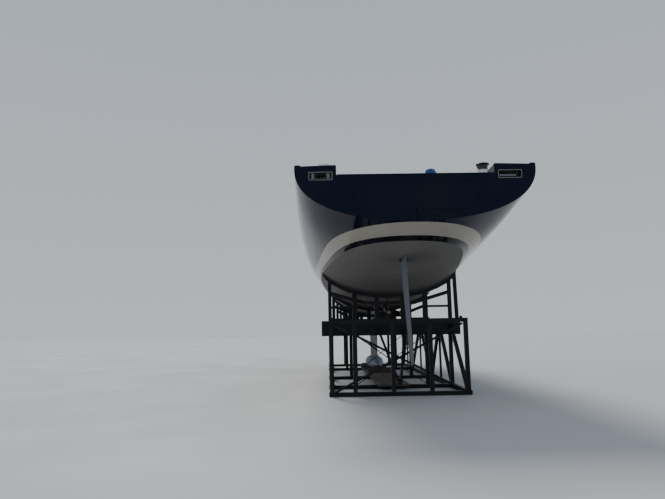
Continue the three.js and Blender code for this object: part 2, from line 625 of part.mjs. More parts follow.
function makeRudder() {
  const top = -RUDDER.gap;
  const blade = loft(places(0, RUDDER.long, 10).map((down) => {
    const [, ahead, behind, thick] = along(BLADE_TABLE, down);
    return foil(ahead, behind, thick, top - down);
  }).reverse());
  return rudderPlace(union([blade, rod([0, 0, top - 200], [0, 0, RUDDER.bushLong + 150], RUDDER.stock, 20)]));
}

function makeRudderBearing() {
  const tube = rod([0, 0, -34], [0, 0, RUDDER.bushLong], RUDDER.bush, 24);
  return rudderPlace(tube.subtract(bore([0, 0, -400], [0, 0, RUDDER.bushLong + 50], RUDDER.stock)));
}

function makeBulb() {
  const steps = places(0, 1, 15).map((t) => (1 - Math.cos(Math.PI * t)) / 2);
  const mid = (BULB.low + BULB.high) / 2;
  return loft(steps.map((t) => {
    const grow = Math.max(Math.sin(Math.PI * t ** 1.25) ** 0.62, 0.06);
    return places(0, 15, 16).map((k) => {
      const turn = (k / 16) * 2 * Math.PI;
      const x = BULB.half * grow * Math.sign(Math.cos(turn)) * Math.abs(Math.cos(turn)) ** 0.85;
      const z = mid + ((BULB.high - BULB.low) / 2) * grow * Math.sin(turn);
      return [x, BULB.y - BULB.long / 2 + BULB.long * t, z];
    });
  }));
}
const bulb = makeBulb();

function makeFin() {
  const fin = loft([
    foil(KEEL.chordLow / 2, KEEL.chordLow / 2, KEEL.thickLow, 500),
    foil(KEEL.chordTop / 2, KEEL.chordTop / 2, KEEL.thickTop, 2900),
  ]).translate([0, KEEL.y, 0]);
  return fin.subtract(hullBelow).subtract(bulb.translate([0, 0, SEAT]).add(
    box([-400, -3000, 0], [400, 3000, (BULB.low + BULB.high) / 2])));
}

function makePropeller() {
  const { hub, blades, behind, phase } = PROPELLER;
  const boss = turned([[0, -150], [34, -146], [60, -90], [hub, 0], [hub, 90], [0, 90]]).rotate([-90, 0, 0]);
  const blade = loft(PROPELLER_TABLE.map(([radius, chord, thick, pitch]) => {
    const turn = THREE.MathUtils.degToRad(pitch);
    const [c, s] = [Math.cos(turn), Math.sin(turn)];
    return [[-1, 0], [0, -1], [1, 0], [0, 1]].map(([i, j]) => {
      const [across, through] = [(i * chord) / 2, (j * thick) / 2];
      return [across * c - through * s, across * s + through * c, radius];
    });
  }));
  const parts = places(0, blades - 1, blades).map((k) => blade.rotate([0, (360 / blades) * k + phase, 0]));
  return shaftPlace(union([boss, ...parts]).translate([0, -behind, 0]));
}

function makeShaft() {
  return shaftPlace(rod([0, 70 + SEAT, 0], [0, SHAFT.long, 0], SHAFT.radius, 16));
}

function makeStrut() {
  const [near, far] = [STRUT.ahead - STRUT.long / 2, STRUT.ahead + STRUT.long / 2];
  const barrel = rod([0, near, 0], [0, far, 0], STRUT.barrel, 20);
  const leg = loft([foil(STRUT.chord / 2, STRUT.chord / 2, STRUT.thick, 20, 5),
    foil(STRUT.chord / 2, STRUT.chord / 2, STRUT.thick, 900, 5)]).translate([0, STRUT.ahead, 0]);
  const tunnel = bore([0, -100, 0], [0, SHAFT.long, 0], SHAFT.radius);
  return shaftPlace(union([barrel, leg]).subtract(tunnel)).subtract(hullBelow);
}

// Tall frames of the cradle. Columns: name, y, half span of the saddle, height, depth and half length of the beam.
const TALL_FRAMES = [
  ['cradle_frame_2', -5800, 1860, 420, 300, 1940],
  ['cradle_frame_3', -2700, 1700, 260, 200, 1620],
  ['cradle_frame_4', 1500, 1500, 260, 200, 1620],
  ['cradle_frame_5', 4200, 1300, 260, 200, 1620],
];
const LOW_FRAME_Y = -7600;
const SIDE = { x: 1680, wide: 120 };
const BASE = { high: 100, deep: 120 };
const BEAM_TOP = 1880;
const SADDLE = { under: 150, within: 60, wide: 220 };
const TUBE = 100; // posts, rails and struts
const BRACE = { wide: 60, side: 90 }; // braces of the frames and of the sides
const POST_X = 1000;
const STRUT_X = 370;
const INTO = 20; // how far posts and struts run into the beams
const X_TUBE = 28; // radius of the crossed tubes of the low frame
const X_ROD = 12; // radius of the thin crossed rods under the beams
const CROSSED_BEHIND = -2000; // frames aft of this y have them
const LOW_POSTS = [-1105, -160, 785];
const PROP = { foot: 1890, head: 1862 }; // a second prop outside the saddle, to starboard of the deepest beam

// Height of the hull's skin at a distance off the centreline.
function skinZ(y, x) {
  let [low, high] = [0, Math.PI / 2];
  for (let i = 0; i < 30; i += 1) {
    const middle = (low + high) / 2;
    if (hullPoint(y, middle, 1)[0] < Math.abs(x)) low = middle;
    else high = middle;
  }
  return hullPoint(y, low, 1)[2];
}

function makeTallFrame([, y, span, beamHigh, beamDeep, beamHalf]) {
  const inner = SIDE.x - SIDE.wide / 2 - SEAT;
  const beamLow = BEAM_TOP - beamHigh;
  const across = (x0, z0, x1, z1, wide, deep) => bar([x0, y, z0], [x1, y, z1], wide, deep);
  const curve = places(-span, span, 17).map((x) => [x, skinZ(y, x)]);
  const outline = new THREE.Shape(curve.map(([x, z]) => new THREE.Vector2(x, z + SADDLE.within)));
  for (const [x, z] of [...curve].reverse()) outline.lineTo(x * 0.985, z - SADDLE.under);
  const band = new THREE.ExtrudeGeometry(outline, { depth: SADDLE.wide, bevelEnabled: false });
  const saddle = solid(band.rotateX(Math.PI / 2).translate(0, y + SADDLE.wide / 2, 0));
  const outer = Math.min(span - 140, SIDE.x + 20);
  const rail = Math.min(skinZ(y, outer) - 420, skinZ(y, 0) + 100);
  const flat = skinZ(y, 0) - 300;
  const pieces = [
    across(-inner, BASE.high / 2, inner, BASE.high / 2, BASE.high, BASE.deep),
    across(-beamHalf, BEAM_TOP - beamHigh / 2, beamHalf, BEAM_TOP - beamHigh / 2, beamHigh, beamDeep),
    across(-700, flat, 700, flat, TUBE, TUBE),
    saddle,
    ...[-1, 1].flatMap((side) => [
      across(side * POST_X, BASE.high / 2, side * POST_X, beamLow + INTO, TUBE, TUBE),
      across(side * STRUT_X, BEAM_TOP - INTO, side * STRUT_X, skinZ(y, STRUT_X), TUBE + 30, TUBE),
      across(side * POST_X, BEAM_TOP - INTO, side * POST_X, skinZ(y, POST_X), TUBE + 40, TUBE),
      across(side * outer, BEAM_TOP - INTO, side * outer, skinZ(y, outer), TUBE, TUBE),
      across(side * 690, flat, side * outer, rail, TUBE, TUBE - 10),
      across(side * POST_X, flat - 110, side * outer, flat - 110, BRACE.wide, BRACE.wide),
    ]),
  ];
  if (y < CROSSED_BEHIND) {
    for (const side of [-1, 1]) {
      pieces.push(rod([side * POST_X, y, BASE.high - 10], [-side * POST_X, y, beamLow + 10], X_ROD, 8));
    }
  }
  if (beamHalf > PROP.foot) {
    pieces.push(across(PROP.foot, BEAM_TOP - INTO, PROP.head, skinZ(y, PROP.head), TUBE - 10, TUBE));
  }
  return union(pieces).subtract(hullBelow);
}

function makeLowFrame() {
  const inner = SIDE.x - SIDE.wide / 2 - SEAT;
  const y = LOW_FRAME_Y;
  const post = (x) => bar([x, y, BASE.high / 2], [x, y, BEAM_TOP - INTO], TUBE, TUBE);
  const rodFrom = (side) => [side * (inner - INTO), y, BEAM_TOP - 130];
  const rodTo = (side) => [side * (inner - INTO), y, BASE.high];
  return union([
    bar([-inner, y, BASE.high / 2], [inner, y, BASE.high / 2], BASE.high, BASE.deep),
    bar([-inner, y, BEAM_TOP - 50], [inner, y, BEAM_TOP - 50], BASE.high, TUBE),
    ...LOW_POSTS.map(post),
    ...[-1, 1].map((side) => rod(rodFrom(side), rodTo(-side), X_TUBE, 12)),
  ]);
}

// One side of the cradle: skid, upper rail, posts and diagonals
function makeSide(side) {
  const x = side * SIDE.x;
  const stations = [LOW_FRAME_Y, ...TALL_FRAMES.map(([, y]) => y)];
  const [first, last] = [stations[0] - 60, stations[stations.length - 1] + 60];
  const top = BEAM_TOP - 60;
  const upright = (y, wide) => bar([x, y, BASE.high / 2], [x, y, BEAM_TOP - INTO], wide, wide);
  const diagonal = (foot, head) => bar(
    [x, foot, BASE.high], [x, head, BEAM_TOP - 100], BRACE.side, BRACE.side, [1, 0, 0]);
  const bays = stations.slice(0, -1).flatMap((y, k) => {
    const [near, far] = [y + 60, stations[k + 1] - 60];
    if (far - near < 2000) return [diagonal(near, far)];
    const middle = (near + far) / 2;
    return [diagonal(near, middle), diagonal(far, middle), upright(middle, BRACE.wide)];
  });
  const body = union([
    box([x - SIDE.wide / 2, first, 0], [x + SIDE.wide / 2, last, BASE.high + 20]),
    box([x - TUBE / 2, first, top], [x + TUBE / 2, last, BEAM_TOP]),
    ...stations.map((y) => upright(y, TUBE)),
    ...bays,
  ]);
  const beams = TALL_FRAMES.map(([, y, span, high, deep, half]) => box(
    [-half - SEAT, y - deep / 2 - SEAT, BEAM_TOP - high - SEAT],
    [half + SEAT, y + deep / 2 + SEAT, BEAM_TOP + OVER_ALL]));
  return beams.reduce((sum, beam) => sum.subtract(beam), body);
}

// Bed of boards laid on the frames' base beams, with chocks under the bulb
const BED = { from: -6300, to: 2300, half: 428, top: 158, chocks: [-1900, -200, 1300], chockHalf: 420 };
function makeKeelBed() {
  const boards = box([-BED.half, BED.from, BASE.high + SEAT], [BED.half, BED.to, BED.top]);
  const chocks = BED.chocks.map((y) => box(
    [-BED.chockHalf, y - 130, BED.top - 8], [BED.chockHalf, y + 130, 300]));
  return union([boards, ...chocks]).subtract(bulb.translate([0, 0, -SEAT]));
}

function makeCentreBrace() {
  const [near, far] = [LOW_FRAME_Y + TUBE / 2 + SEAT, TALL_FRAMES[0][1] - TALL_FRAMES[0][4] / 2 - SEAT];
  const [foot, head, half] = [330, BEAM_TOP - 240, 60];
  const legs = [-1, 1].map((side) => bar(
    [side * 30, near + 40, foot], [side * STRUT_X, far - 40, head], BRACE.wide, BRACE.wide));
  const pads = [-STRUT_X, STRUT_X].map((x) => box(
    [x - half, far - half, head - 90], [x + half, far, head + 90]));
  return union([...legs, ...pads, box([-half, near, foot - 80], [half, near + half, foot + 90])])
    .intersect(box([-POST_X, near, 0], [POST_X, far, BEAM_TOP]));
}

// Rig fittings that stay aboard while the mast is out
function makeMastCollar() {
  return plate(0, MAST.y, MAST.wide, MAST.long, MAST.corner, SEAT, TEAK + MAST.high);
}

const STEM = { y: 10480, wide: 150, long: 420, top: 5052, thick: 60, tang: 5190, tangHalf: 14 };
function makeStemFitting() {
  const [from, to] = [STEM.y - STEM.long / 2, STEM.y + STEM.long / 2];
  return union([
    box([-STEM.wide / 2, from, STEM.top - STEM.thick], [STEM.wide / 2, to, STEM.top]),
    box([-STEM.tangHalf, STEM.y - 120, STEM.top - 1], [STEM.tangHalf, STEM.y + 80, STEM.tang]),
  ]).subtract(hullShell.translate([0, 0, SEAT]));
}

const SHROUD = { y: 13000, inset: 260, long: 260, wide: 120, plate: 14 };
const SHROUD_TANG = { half: 12, long: 180, high: 120 };
function makeChainplate(side) {
  const x = side * Math.round(sheerHalf(SHROUD.y + STERN_Y) - SHROUD.inset);
  const block = (half, long, low, high) => box(
    [x - half, SHROUD.y - long / 2, TEAK + low], [x + half, SHROUD.y + long / 2, TEAK + high]);
  return union([
    block(SHROUD.wide / 2, SHROUD.long, SEAT * 2, SHROUD.plate),
    block(SHROUD_TANG.half, SHROUD_TANG.long, SHROUD.plate - 4, SHROUD_TANG.high),
  ]);
}

// Materials by slot
function paint(color, roughness, metalness = 0) {
  return new THREE.MeshStandardMaterial({ color, roughness, metalness });
}
const MATERIALS = {
  navy: paint(0x0b1424, 0.12),
  teak: paint(0x9a7b58, 0.75),
  white: paint(0xe6e6e2, 0.35),
  antifoul: paint(0x8f908c, 0.7),
  lead: paint(0x9aa0a6, 0.6),
  bronze: paint(0x5a4a30, 0.45, 0.8),
  stainless: paint(0xb9bcc0, 0.25, 1),
  alloy: paint(0x9ea3a8, 0.4, 0.9),
  black: paint(0x111214, 0.45),
  glass: paint(0x0c1014, 0.06),
  steel: paint(0x16191e, 0.6),
  timber: paint(0x6b5237, 0.85),
  cloth: paint(0xdfe4ea, 0.9),
  blue: paint(0x1d4a8f, 0.9),
};

const yacht = new THREE.Group();
yacht.name = 'sailing_yacht_in_cradle';
const deckFrame = new THREE.Group();
deckFrame.position.set(0, STERN_Y, DECK_AFT_Z);
deckFrame.rotation.x = THREE.MathUtils.degToRad(DECK_ANGLE);
yacht.add(deckFrame);

function place(name, body, slot, parent = yacht, position = [0, 0, 0]) {
  const mesh = new THREE.Mesh(geometryOf(body), MATERIALS[slot]);
  mesh.name = name;
  mesh.position.set(...position);
  parent.add(mesh);
}

const SIDES = [['port', -1], ['stbd', 1]];

// The hull's walls are made whole, then parted along the deck: the bulwark, a half on each side,
// takes in the raised quarters of the transom
const wholeHull = makeHull();
place('hull', wholeHull.subtract(aboveDeck(-BEYOND, BEYOND, 0)), 'navy');
place('keel_fin', makeFin(), 'antifoul');
place('keel_bulb', bulb, 'lead');
place('rudder', makeRudder(), 'antifoul');
place('rudder_bearing', makeRudderBearing(), 'black');
place('propeller_shaft', makeShaft(), 'stainless');
place('shaft_strut', makeStrut(), 'bronze');
place('propeller', makePropeller(), 'bronze');
place('transom_door', union([doorShape(0, STERN_Y, STERN_Y + DOOR.thick), ...doorKnuckles()]), 'navy');

place('deck_moulding', makeDeckMoulding(), 'white', deckFrame);
place('saloon_lining', makeSaloon(), 'white', deckFrame);
place('deck', makeDeck(), 'teak', deckFrame);
place('cockpit', makeCockpit(), 'white', deckFrame);
place('coachroof', makeHouse(), 'white', deckFrame);
place('hatch_rails', makeHatchRails(), 'alloy', deckFrame);
place('companionway_hatch', makeHatch(), 'glass', deckFrame);
place('companionway_door', makeCompanionDoor(), 'glass', deckFrame);
place('companionway_steps', makeSteps(), 'teak', deckFrame);
place('mast_collar', makeMastCollar(), 'alloy', deckFrame);
place('stem_fitting', makeStemFitting(), 'stainless');
for (const lid of LIDS) place(lid[0], makeLid(lid), lid[0].includes('hatch') ? 'glass' : 'teak', deckFrame);
for (const [name, x, y, seat, scale] of WINCHES) {
  const winch = turned(WINCH_PROFILE.map(([r, h]) => [r * scale, h * scale]));
  place(name, winch, 'black', deckFrame, [x, y, seat + SEAT]);
}

place('winch_cover_port', turned(COVER_PROFILE), 'cloth', deckFrame, [POD.port, POD.y, TEAK + POD.high + SEAT]);
place('deck_cloth', turned(CLOTH_PROFILE).scale([1, CLOTH.squash, 1]), 'blue', deckFrame,
  [CLOTH.x, CLOTH.y, TEAK + SEAT]);

const wheelZ = WHEEL.rise + SEAT - HELM_WELL.depth;
for (const [name, side] of SIDES) {
  place(`coachroof_glass_${name}`, makeGlass(side), 'glass', deckFrame);
  place(`winch_pod_${name}`, makePod(name), 'white', deckFrame);
  place(`bulwark_${name}`, wholeHull.intersect(aboveDeck(side * SEAT / 2, side * BEYOND, SEAT)), 'navy');
  place(`quarter_box_${name}`, makeQuarterBox(side), 'navy');
  place(`chainplate_${name}`, makeChainplate(side), 'stainless', deckFrame);
  place(`fairlead_${name}`, makeFairlead(side), 'stainless');
  place(`pedestal_${name}`, makePedestal(), 'white', deckFrame, [side * WHEEL.x, WHEEL.y, wheelZ]);
  place(`steering_wheel_${name}`, makeWheel(), 'stainless', deckFrame, [side * WHEEL.x, WHEEL.y, wheelZ]);
  place(`cradle_side_${name}`, makeSide(side), 'steel');
}

place('cradle_frame_1', makeLowFrame(), 'steel');
for (const frame of TALL_FRAMES) place(frame[0], makeTallFrame(frame), 'steel');
place('cradle_centre_brace', makeCentreBrace(), 'steel');
place('keel_bed', makeKeelBed(), 'timber');

export default yacht;
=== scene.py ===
"""The looks of a 22 m sailing yacht ashore in its steel cradle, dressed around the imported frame.

Metres: +X starboard, +Y towards the bow, +Z up. The origin is on the floor under mid-length.
"""

import json
import math
import random

import bmesh
import bpy
from mathutils import Matrix, Vector


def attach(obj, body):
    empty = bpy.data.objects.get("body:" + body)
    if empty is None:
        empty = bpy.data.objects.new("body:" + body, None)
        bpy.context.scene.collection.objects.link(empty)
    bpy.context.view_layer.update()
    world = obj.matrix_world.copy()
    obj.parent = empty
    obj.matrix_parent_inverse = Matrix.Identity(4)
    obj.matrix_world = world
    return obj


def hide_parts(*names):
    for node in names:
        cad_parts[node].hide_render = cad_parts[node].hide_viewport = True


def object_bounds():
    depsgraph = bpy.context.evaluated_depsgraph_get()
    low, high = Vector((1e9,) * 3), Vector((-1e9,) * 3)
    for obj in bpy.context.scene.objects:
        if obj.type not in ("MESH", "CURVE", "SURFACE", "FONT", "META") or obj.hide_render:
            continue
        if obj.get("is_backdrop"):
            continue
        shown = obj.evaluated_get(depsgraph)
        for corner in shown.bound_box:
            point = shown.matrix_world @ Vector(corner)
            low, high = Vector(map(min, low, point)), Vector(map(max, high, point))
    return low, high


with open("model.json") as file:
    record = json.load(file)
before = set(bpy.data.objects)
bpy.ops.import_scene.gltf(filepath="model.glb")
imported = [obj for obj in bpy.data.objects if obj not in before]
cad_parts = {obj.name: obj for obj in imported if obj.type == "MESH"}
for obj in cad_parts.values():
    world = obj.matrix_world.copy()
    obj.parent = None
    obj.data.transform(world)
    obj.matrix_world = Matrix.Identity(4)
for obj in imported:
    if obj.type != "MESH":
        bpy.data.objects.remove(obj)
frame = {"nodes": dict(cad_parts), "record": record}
cad_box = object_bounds()

# Driving dimensions, the same as in the part's source
STERN, BOW = -11.0, 11.0
DECK_Z, DECK_RISE = 4.62, 0.01
DECK = Matrix.Translation((0, STERN, DECK_Z)) @ Matrix.Rotation(math.atan(DECK_RISE), 4, "X")
WORLD = Matrix.Identity(4)
TEAK = 0.030
BULWARK = 0.090
CORNER_INNER = 1.56
SKIN = 0.005  # how far the painted skin stands proud of the faceted hull
SIDES = ((-1, "port"), (1, "stbd"))

# Hull sections. Columns: y, half beam, sheer height, keel-line height, fullness, flare, stem lean.
HULL_TABLE = [
    (-11.0, 2.380, 4.820, 3.710, 2.27, -0.03, 0.0),
    (-9.4, 2.430, 4.800, 3.300, 2.37, -0.01, 0.0),
    (-7.4, 2.490, 4.800, 2.970, 2.42, 0.01, 0.0),
    (-4.8, 2.520, 4.810, 2.520, 2.40, 0.04, 0.0),
    (-1.8, 2.520, 4.830, 2.370, 2.23, 0.08, 0.0),
    (1.2, 2.430, 4.860, 2.330, 2.10, 0.13, 0.0),
    (4.2, 2.180, 4.890, 2.360, 2.00, 0.20, 0.0),
    (6.8, 1.650, 4.940, 2.520, 1.95, 0.30, 0.0),
    (8.8, 0.980, 4.980, 2.780, 1.85, 0.45, 0.0),
    (10.2, 0.440, 5.010, 3.020, 1.80, 0.60, 0.06),
    (11.0, 0.020, 5.040, 3.200, 1.80, 0.80, 0.20),
]


def along(table, place):
    """Every column of a table whose first column is the place, with smooth tangents."""
    last = len(table) - 1
    k = 0
    while k < last - 1 and place > table[k + 1][0]:
        k += 1

    def slope(i, column):
        a, b = max(i - 1, 0), min(i + 1, last)
        return (table[b][column] - table[a][column]) / (table[b][0] - table[a][0])

    span = table[k + 1][0] - table[k][0]
    t = min(max((place - table[k][0]) / span, 0.0), 1.0)
    row = []
    for column in range(len(table[0])):
        p, q = table[k][column], table[k + 1][column]
        m, n = slope(k, column) * span, slope(k + 1, column) * span
        row.append((2 * t**3 - 3 * t**2 + 1) * p + (t**3 - 2 * t**2 + t) * m
                   + (3 * t**2 - 2 * t**3) * q + (t**3 - t**2) * n)
    return row


def hull_surface(place, angle, side):
    """A point of the hull: angle 0 is the keel line and a quarter turn is the sheer."""
    _, beam, sheer, keel, fullness, flare, lean = along(HULL_TABLE, place)
    power = 2 / fullness
    rise = 1 - max(math.cos(angle), 0.0) ** power
    width = beam * ((1 - flare) * max(math.sin(angle), 0.0) ** power + flare * rise)
    return Vector((side * width, place - lean * (1 - rise), keel + (sheer - keel) * rise))


def hull_point(place, angle, side, out=SKIN):
    """A point moved out from the hull along its normal, by default onto the painted skin."""
    step = 1e-3
    lengthwise = hull_surface(place + step, angle, side) - hull_surface(place - step, angle, side)
    low, high = max(angle - step, 0.0), min(angle + step, math.pi / 2)
    around = hull_surface(place, high, side) - hull_surface(place, low, side)
    return hull_surface(place, angle, side) + lengthwise.cross(around).normalized() * side * out


def halved(below):
    """The angle from keel to sheer up to which a test holds."""
    low, high = 0.0, math.pi / 2
    for _ in range(24):
        middle = (low + high) / 2
        if below(middle):
            low = middle
        else:
            high = middle
    return low


def spread(low, high, count):
    return [low + (high - low) * i / (count - 1) for i in range(count)]


def circle(radius, count):
    turns = [2 * math.pi * i / count for i in range(count)]
    return [(radius * math.cos(turn), radius * math.sin(turn)) for turn in turns]


# Materials


class Paint:
    """A Principled material whose colour, roughness and bump come from nodes in object coordinates."""

    def __init__(self, name, rough=0.5, metal=0.0, specular=0.5, **extra):
        self.material = bpy.data.materials.new(name)
        self.material.use_nodes = True
        self.tree = self.material.node_tree
        self.shader = self.tree.nodes["Principled BSDF"]
        values = {"Roughness": rough, "Metallic": metal, "Specular IOR Level": specular}
        for socket, value in {**values, **extra}.items():
            self.shader.inputs[socket].default_value = value
        self.place = self.node("ShaderNodeTexCoord").outputs["Object"]
        self.heights = None

    def node(self, kind, links=None, **settings):
        made = self.tree.nodes.new(kind)
        for key, value in settings.items():
            setattr(made, key, value)
        for key, value in (links or {}).items():
            if isinstance(value, bpy.types.NodeSocket):
                self.tree.links.new(value, made.inputs[key])
            else:
                made.inputs[key].default_value = value
        return made

    def math(self, operation, a, b=0.0):
        return self.node("ShaderNodeMath", {0: a, 1: b}, operation=operation).outputs[0]

    def axis(self, name, source=None):
        return self.node("ShaderNodeSeparateXYZ", {0: source or self.place}).outputs[name]

    def normal(self):
        return self.node("ShaderNodeNewGeometry").outputs["Normal"]

    def noise(self, scale, detail=4.0, rough=0.55, stretch=(1.0, 1.0, 1.0), bend=0.0):
        source = self.node("ShaderNodeMapping", {"Vector": self.place, "Scale": stretch}).outputs[0]
        made = self.node("ShaderNodeTexNoise", {"Vector": source, "Scale": scale, "Detail": detail,
                                                "Roughness": rough, "Distortion": bend})
        return made.outputs["Fac"]

    def fade(self, value, low, high, out_low=0.0, out_high=1.0):
        """Maps value from low..high to out_low..out_high, clamped."""
        return self.node("ShaderNodeMapRange", {"Value": value, "From Min": low, "From Max": high,
                                                "To Min": out_low, "To Max": out_high}).outputs[0]

    def mix(self, factor, a, b, **settings):
        links = {0: factor, 6: colour(a), 7: colour(b)}
        return self.node("ShaderNodeMix", links, data_type="RGBA", **settings).outputs[2]

    def blend(self, factor, a, b):
        return self.node("ShaderNodeMix", {0: factor, 2: a, 3: b}, data_type="FLOAT").outputs[0]

    def paint(self, value):
        self.tree.links.new(value, self.shader.inputs["Base Color"])
        return self

    def rough(self, value):
        self.tree.links.new(value, self.shader.inputs["Roughness"])
        return self

    def satin(self, scale, low, high):
        """Lets the roughness drift between two values."""
        return self.rough(self.fade(self.noise(scale), 0.3, 0.7, low, high))

    def bump(self, height, distance, strength=1.0):
        links = {"Height": height, "Distance": distance, "Strength": strength}
        if self.heights is not None:
            links["Normal"] = self.heights
        self.heights = self.node("ShaderNodeBump", links).outputs["Normal"]
        self.tree.links.new(self.heights, self.shader.inputs["Normal"])
        return self

    def edges(self, radius):
        """How close to a convex or concave edge a point is, from 0 to 1."""
        soft = self.node("ShaderNodeBevel", {"Radius": radius}, samples=4).outputs[0]
        both = self.node("ShaderNodeVectorMath", {0: soft, 1: self.normal()}, operation="DOT_PRODUCT")
        return self.fade(self.math("SUBTRACT", 1.0, both.outputs["Value"]), 0.03, 0.18)


def colour(value):
    """Lets a colour be a socket, or three linear numbers."""
    if isinstance(value, bpy.types.NodeSocket):
        return value
    return (*value, 1.0)


NAVY = (0.0011, 0.0046, 0.0185)
CREAM = (0.395, 0.366, 0.315)
BOTTOM = (0.172, 0.165, 0.154)

# The paint lines are level at LINE_LEVEL_Y and rise by LINE_CURVE times the distance from it squared.
LINE_LEVEL_Y, LINE_CURVE, LINE_FOOT = 1.0, 0.0029, 3.10
STRIPE_HIGH, BAND_HIGH, LINE_BLUR = 0.052, 0.175, 0.003


def paint_line(paint):
    """Height above the foot of the dark stripe."""
    away = paint.math("SUBTRACT", paint.axis("Y"), LINE_LEVEL_Y)
    curve = paint.math("MULTIPLY", paint.math("MULTIPLY", away, away), LINE_CURVE)
    return paint.math("SUBTRACT", paint.axis("Z"), paint.math("ADD", curve, LINE_FOOT))


def antifouling_colour(paint):
    """Roller-laid antifouling: pale and cloudy, with faint runs and darker flecks."""
    darker = lambda share: tuple(c * share for c in BOTTOM)
    clouds = paint.noise(1.3, 6.0, 0.6)
    runs = paint.noise(5.0, 3.0, 0.6, stretch=(1.0, 1.0, 0.12))
    flecks = paint.noise(38.0, 3.0, 0.7)
    pale = paint.mix(paint.fade(clouds, 0.35, 0.7), BOTTOM, darker(0.86))
    streaked = paint.mix(paint.fade(runs, 0.52, 0.75, 0.0, 0.35), pale, darker(0.74))
    return paint.mix(paint.fade(flecks, 0.66, 0.80, 0.0, 0.35), streaked, darker(0.62))


def make_hull_paint():
    """Gloss navy topsides, a cream band, a dark stripe and antifouling, split by level lines."""
    paint = Paint("hull_paint", rough=0.09, specular=0.14)
    level = paint_line(paint)
    above = lambda height: paint.fade(level, height, height + LINE_BLUR)
    streaks = paint.noise(7.0, 3.0, 0.55, stretch=(1.0, 1.0, 0.06))
    dust = paint.fade(paint.noise(0.9, 5.0, 0.6), 0.45, 0.75, 0.0, 0.5)
    navy = paint.mix(dust, NAVY, (0.0040, 0.0080, 0.022))
    navy = paint.mix(paint.fade(streaks, 0.60, 0.78, 0.0, 0.25), navy, (0.010, 0.014, 0.024))
    cream = paint.mix(paint.fade(streaks, 0.5, 0.8, 0.0, 0.4), CREAM, (0.315, 0.29, 0.25))
    above_foot = above(-LINE_BLUR / 2)
    striped = paint.mix(above(STRIPE_HIGH), (0.006, 0.008, 0.014), paint.mix(above(BAND_HIGH), cream, navy))
    paint.paint(paint.mix(above_foot, antifouling_colour(paint), striped))
    paint.rough(paint.blend(above_foot, 0.72, paint.fade(paint.noise(6.0), 0.3, 0.7, 0.06, 0.13)))
    nap = paint.math("MULTIPLY", paint.noise(120.0, 4.0, 0.7), paint.math("SUBTRACT", 1.0, above_foot))
    paint.bump(paint.math("MULTIPLY", paint.noise(260.0, 2.0), above_foot), 0.00006)
    paint.bump(nap, 0.0012)
    return paint.material


def make_navy():
    paint = Paint("navy_gloss", rough=0.1, specular=0.12)
    paint.paint(paint.mix(paint.fade(paint.noise(1.1, 5.0, 0.6), 0.4, 0.75), NAVY, (0.0045, 0.0080, 0.018)))
    paint.satin(5.0, 0.07, 0.18).bump(paint.noise(260.0, 2.0), 0.00006)
    return paint.material


def make_inside_hull():
    """Navy above the deck line and round the transom, pale laminate in the lockers and below."""
    paint = Paint("hull_inside", rough=0.4, specular=0.2)
    y = paint.axis("Y")
    rise = paint.math("MULTIPLY", paint.math("SUBTRACT", y, STERN), DECK_RISE)
    below = paint.math("LESS_THAN", paint.axis("Z"), paint.math("ADD", rise, DECK_Z - 0.004))
    inside = paint.math("MULTIPLY", below, paint.math("GREATER_THAN", y, STERN + 0.068))
    laminate = paint.mix(paint.fade(paint.noise(9.0), 0.3, 0.7), (0.62, 0.62, 0.60), (0.55, 0.55, 0.53))
    paint.paint(paint.mix(inside, NAVY, laminate))
    paint.satin(14.0, 0.16, 0.36).bump(paint.noise(90.0, 3.0), 0.0004)
    return paint.material


def make_antifouling(name, tint, rough=0.7):
    paint = Paint(name, rough=rough)
    ratio = [t / b for t, b in zip(tint, BOTTOM)]
    paint.paint(paint.mix(1.0, antifouling_colour(paint), ratio, blend_type="MULTIPLY"))
    paint.satin(9.0, rough - 0.12, rough + 0.1).bump(paint.noise(120.0, 4.0, 0.7), 0.0010)
    return paint.material


def make_white():
    """Satin moulded laminate, a little dirty in patches."""
    paint = Paint("white_moulding", rough=0.28)
    grime = paint.fade(paint.noise(3.2, 6.0, 0.65), 0.45, 0.75, 0.0, 0.7)
    paint.paint(paint.mix(grime, (0.78, 0.775, 0.75), (0.66, 0.65, 0.61)))
    paint.satin(18.0, 0.20, 0.38).bump(paint.noise(240.0, 2.0), 0.0001)
    return paint.material


def wood_grain(paint, scale, light, dark, lengthwise):
    stretch = tuple(0.06 if axis == lengthwise else 1.0 for axis in range(3))
    grain = paint.noise(scale, 8.0, 0.65, stretch=stretch, bend=0.4)
    return paint.mix(paint.fade(grain, 0.32, 0.68), light, dark), grain


def make_teak(name, plank, lengthwise=1):
    """Weathered teak laid in planks with black caulking; a plank width of 0 leaves the caulking out."""
    paint = Paint(name, rough=0.68)
    wood, grain = wood_grain(paint, 42.0, (0.43, 0.33, 0.225), (0.28, 0.205, 0.135), lengthwise)
    weather = paint.fade(paint.noise(1.6, 5.0, 0.6), 0.4, 0.7, 0.0, 0.5)
    wood = paint.mix(weather, wood, (0.40, 0.365, 0.31))
    if plank:
        row = paint.math("DIVIDE", paint.axis("Y" if lengthwise == 0 else "X"), plank)
        number = paint.math("FLOOR", row)
        tone = paint.node("ShaderNodeTexWhiteNoise", {"W": number}, noise_dimensions="1D").outputs["Value"]
        toned = paint.mix(paint.fade(tone, 0.0, 1.0, 0.0, 0.30), wood, (0.235, 0.18, 0.125))
        part = paint.math("SUBTRACT", row, number)
        away = paint.math("ABSOLUTE", paint.math("SUBTRACT", part, 0.5))
        seam = paint.fade(away, 0.450, 0.462)
        wood = paint.mix(seam, toned, (0.012, 0.012, 0.012))
        paint.rough(paint.blend(seam, 0.68, 0.42)).bump(paint.math("SUBTRACT", 1.0, seam), 0.0012)
    paint.paint(wood).bump(grain, 0.0005)
    return paint.material


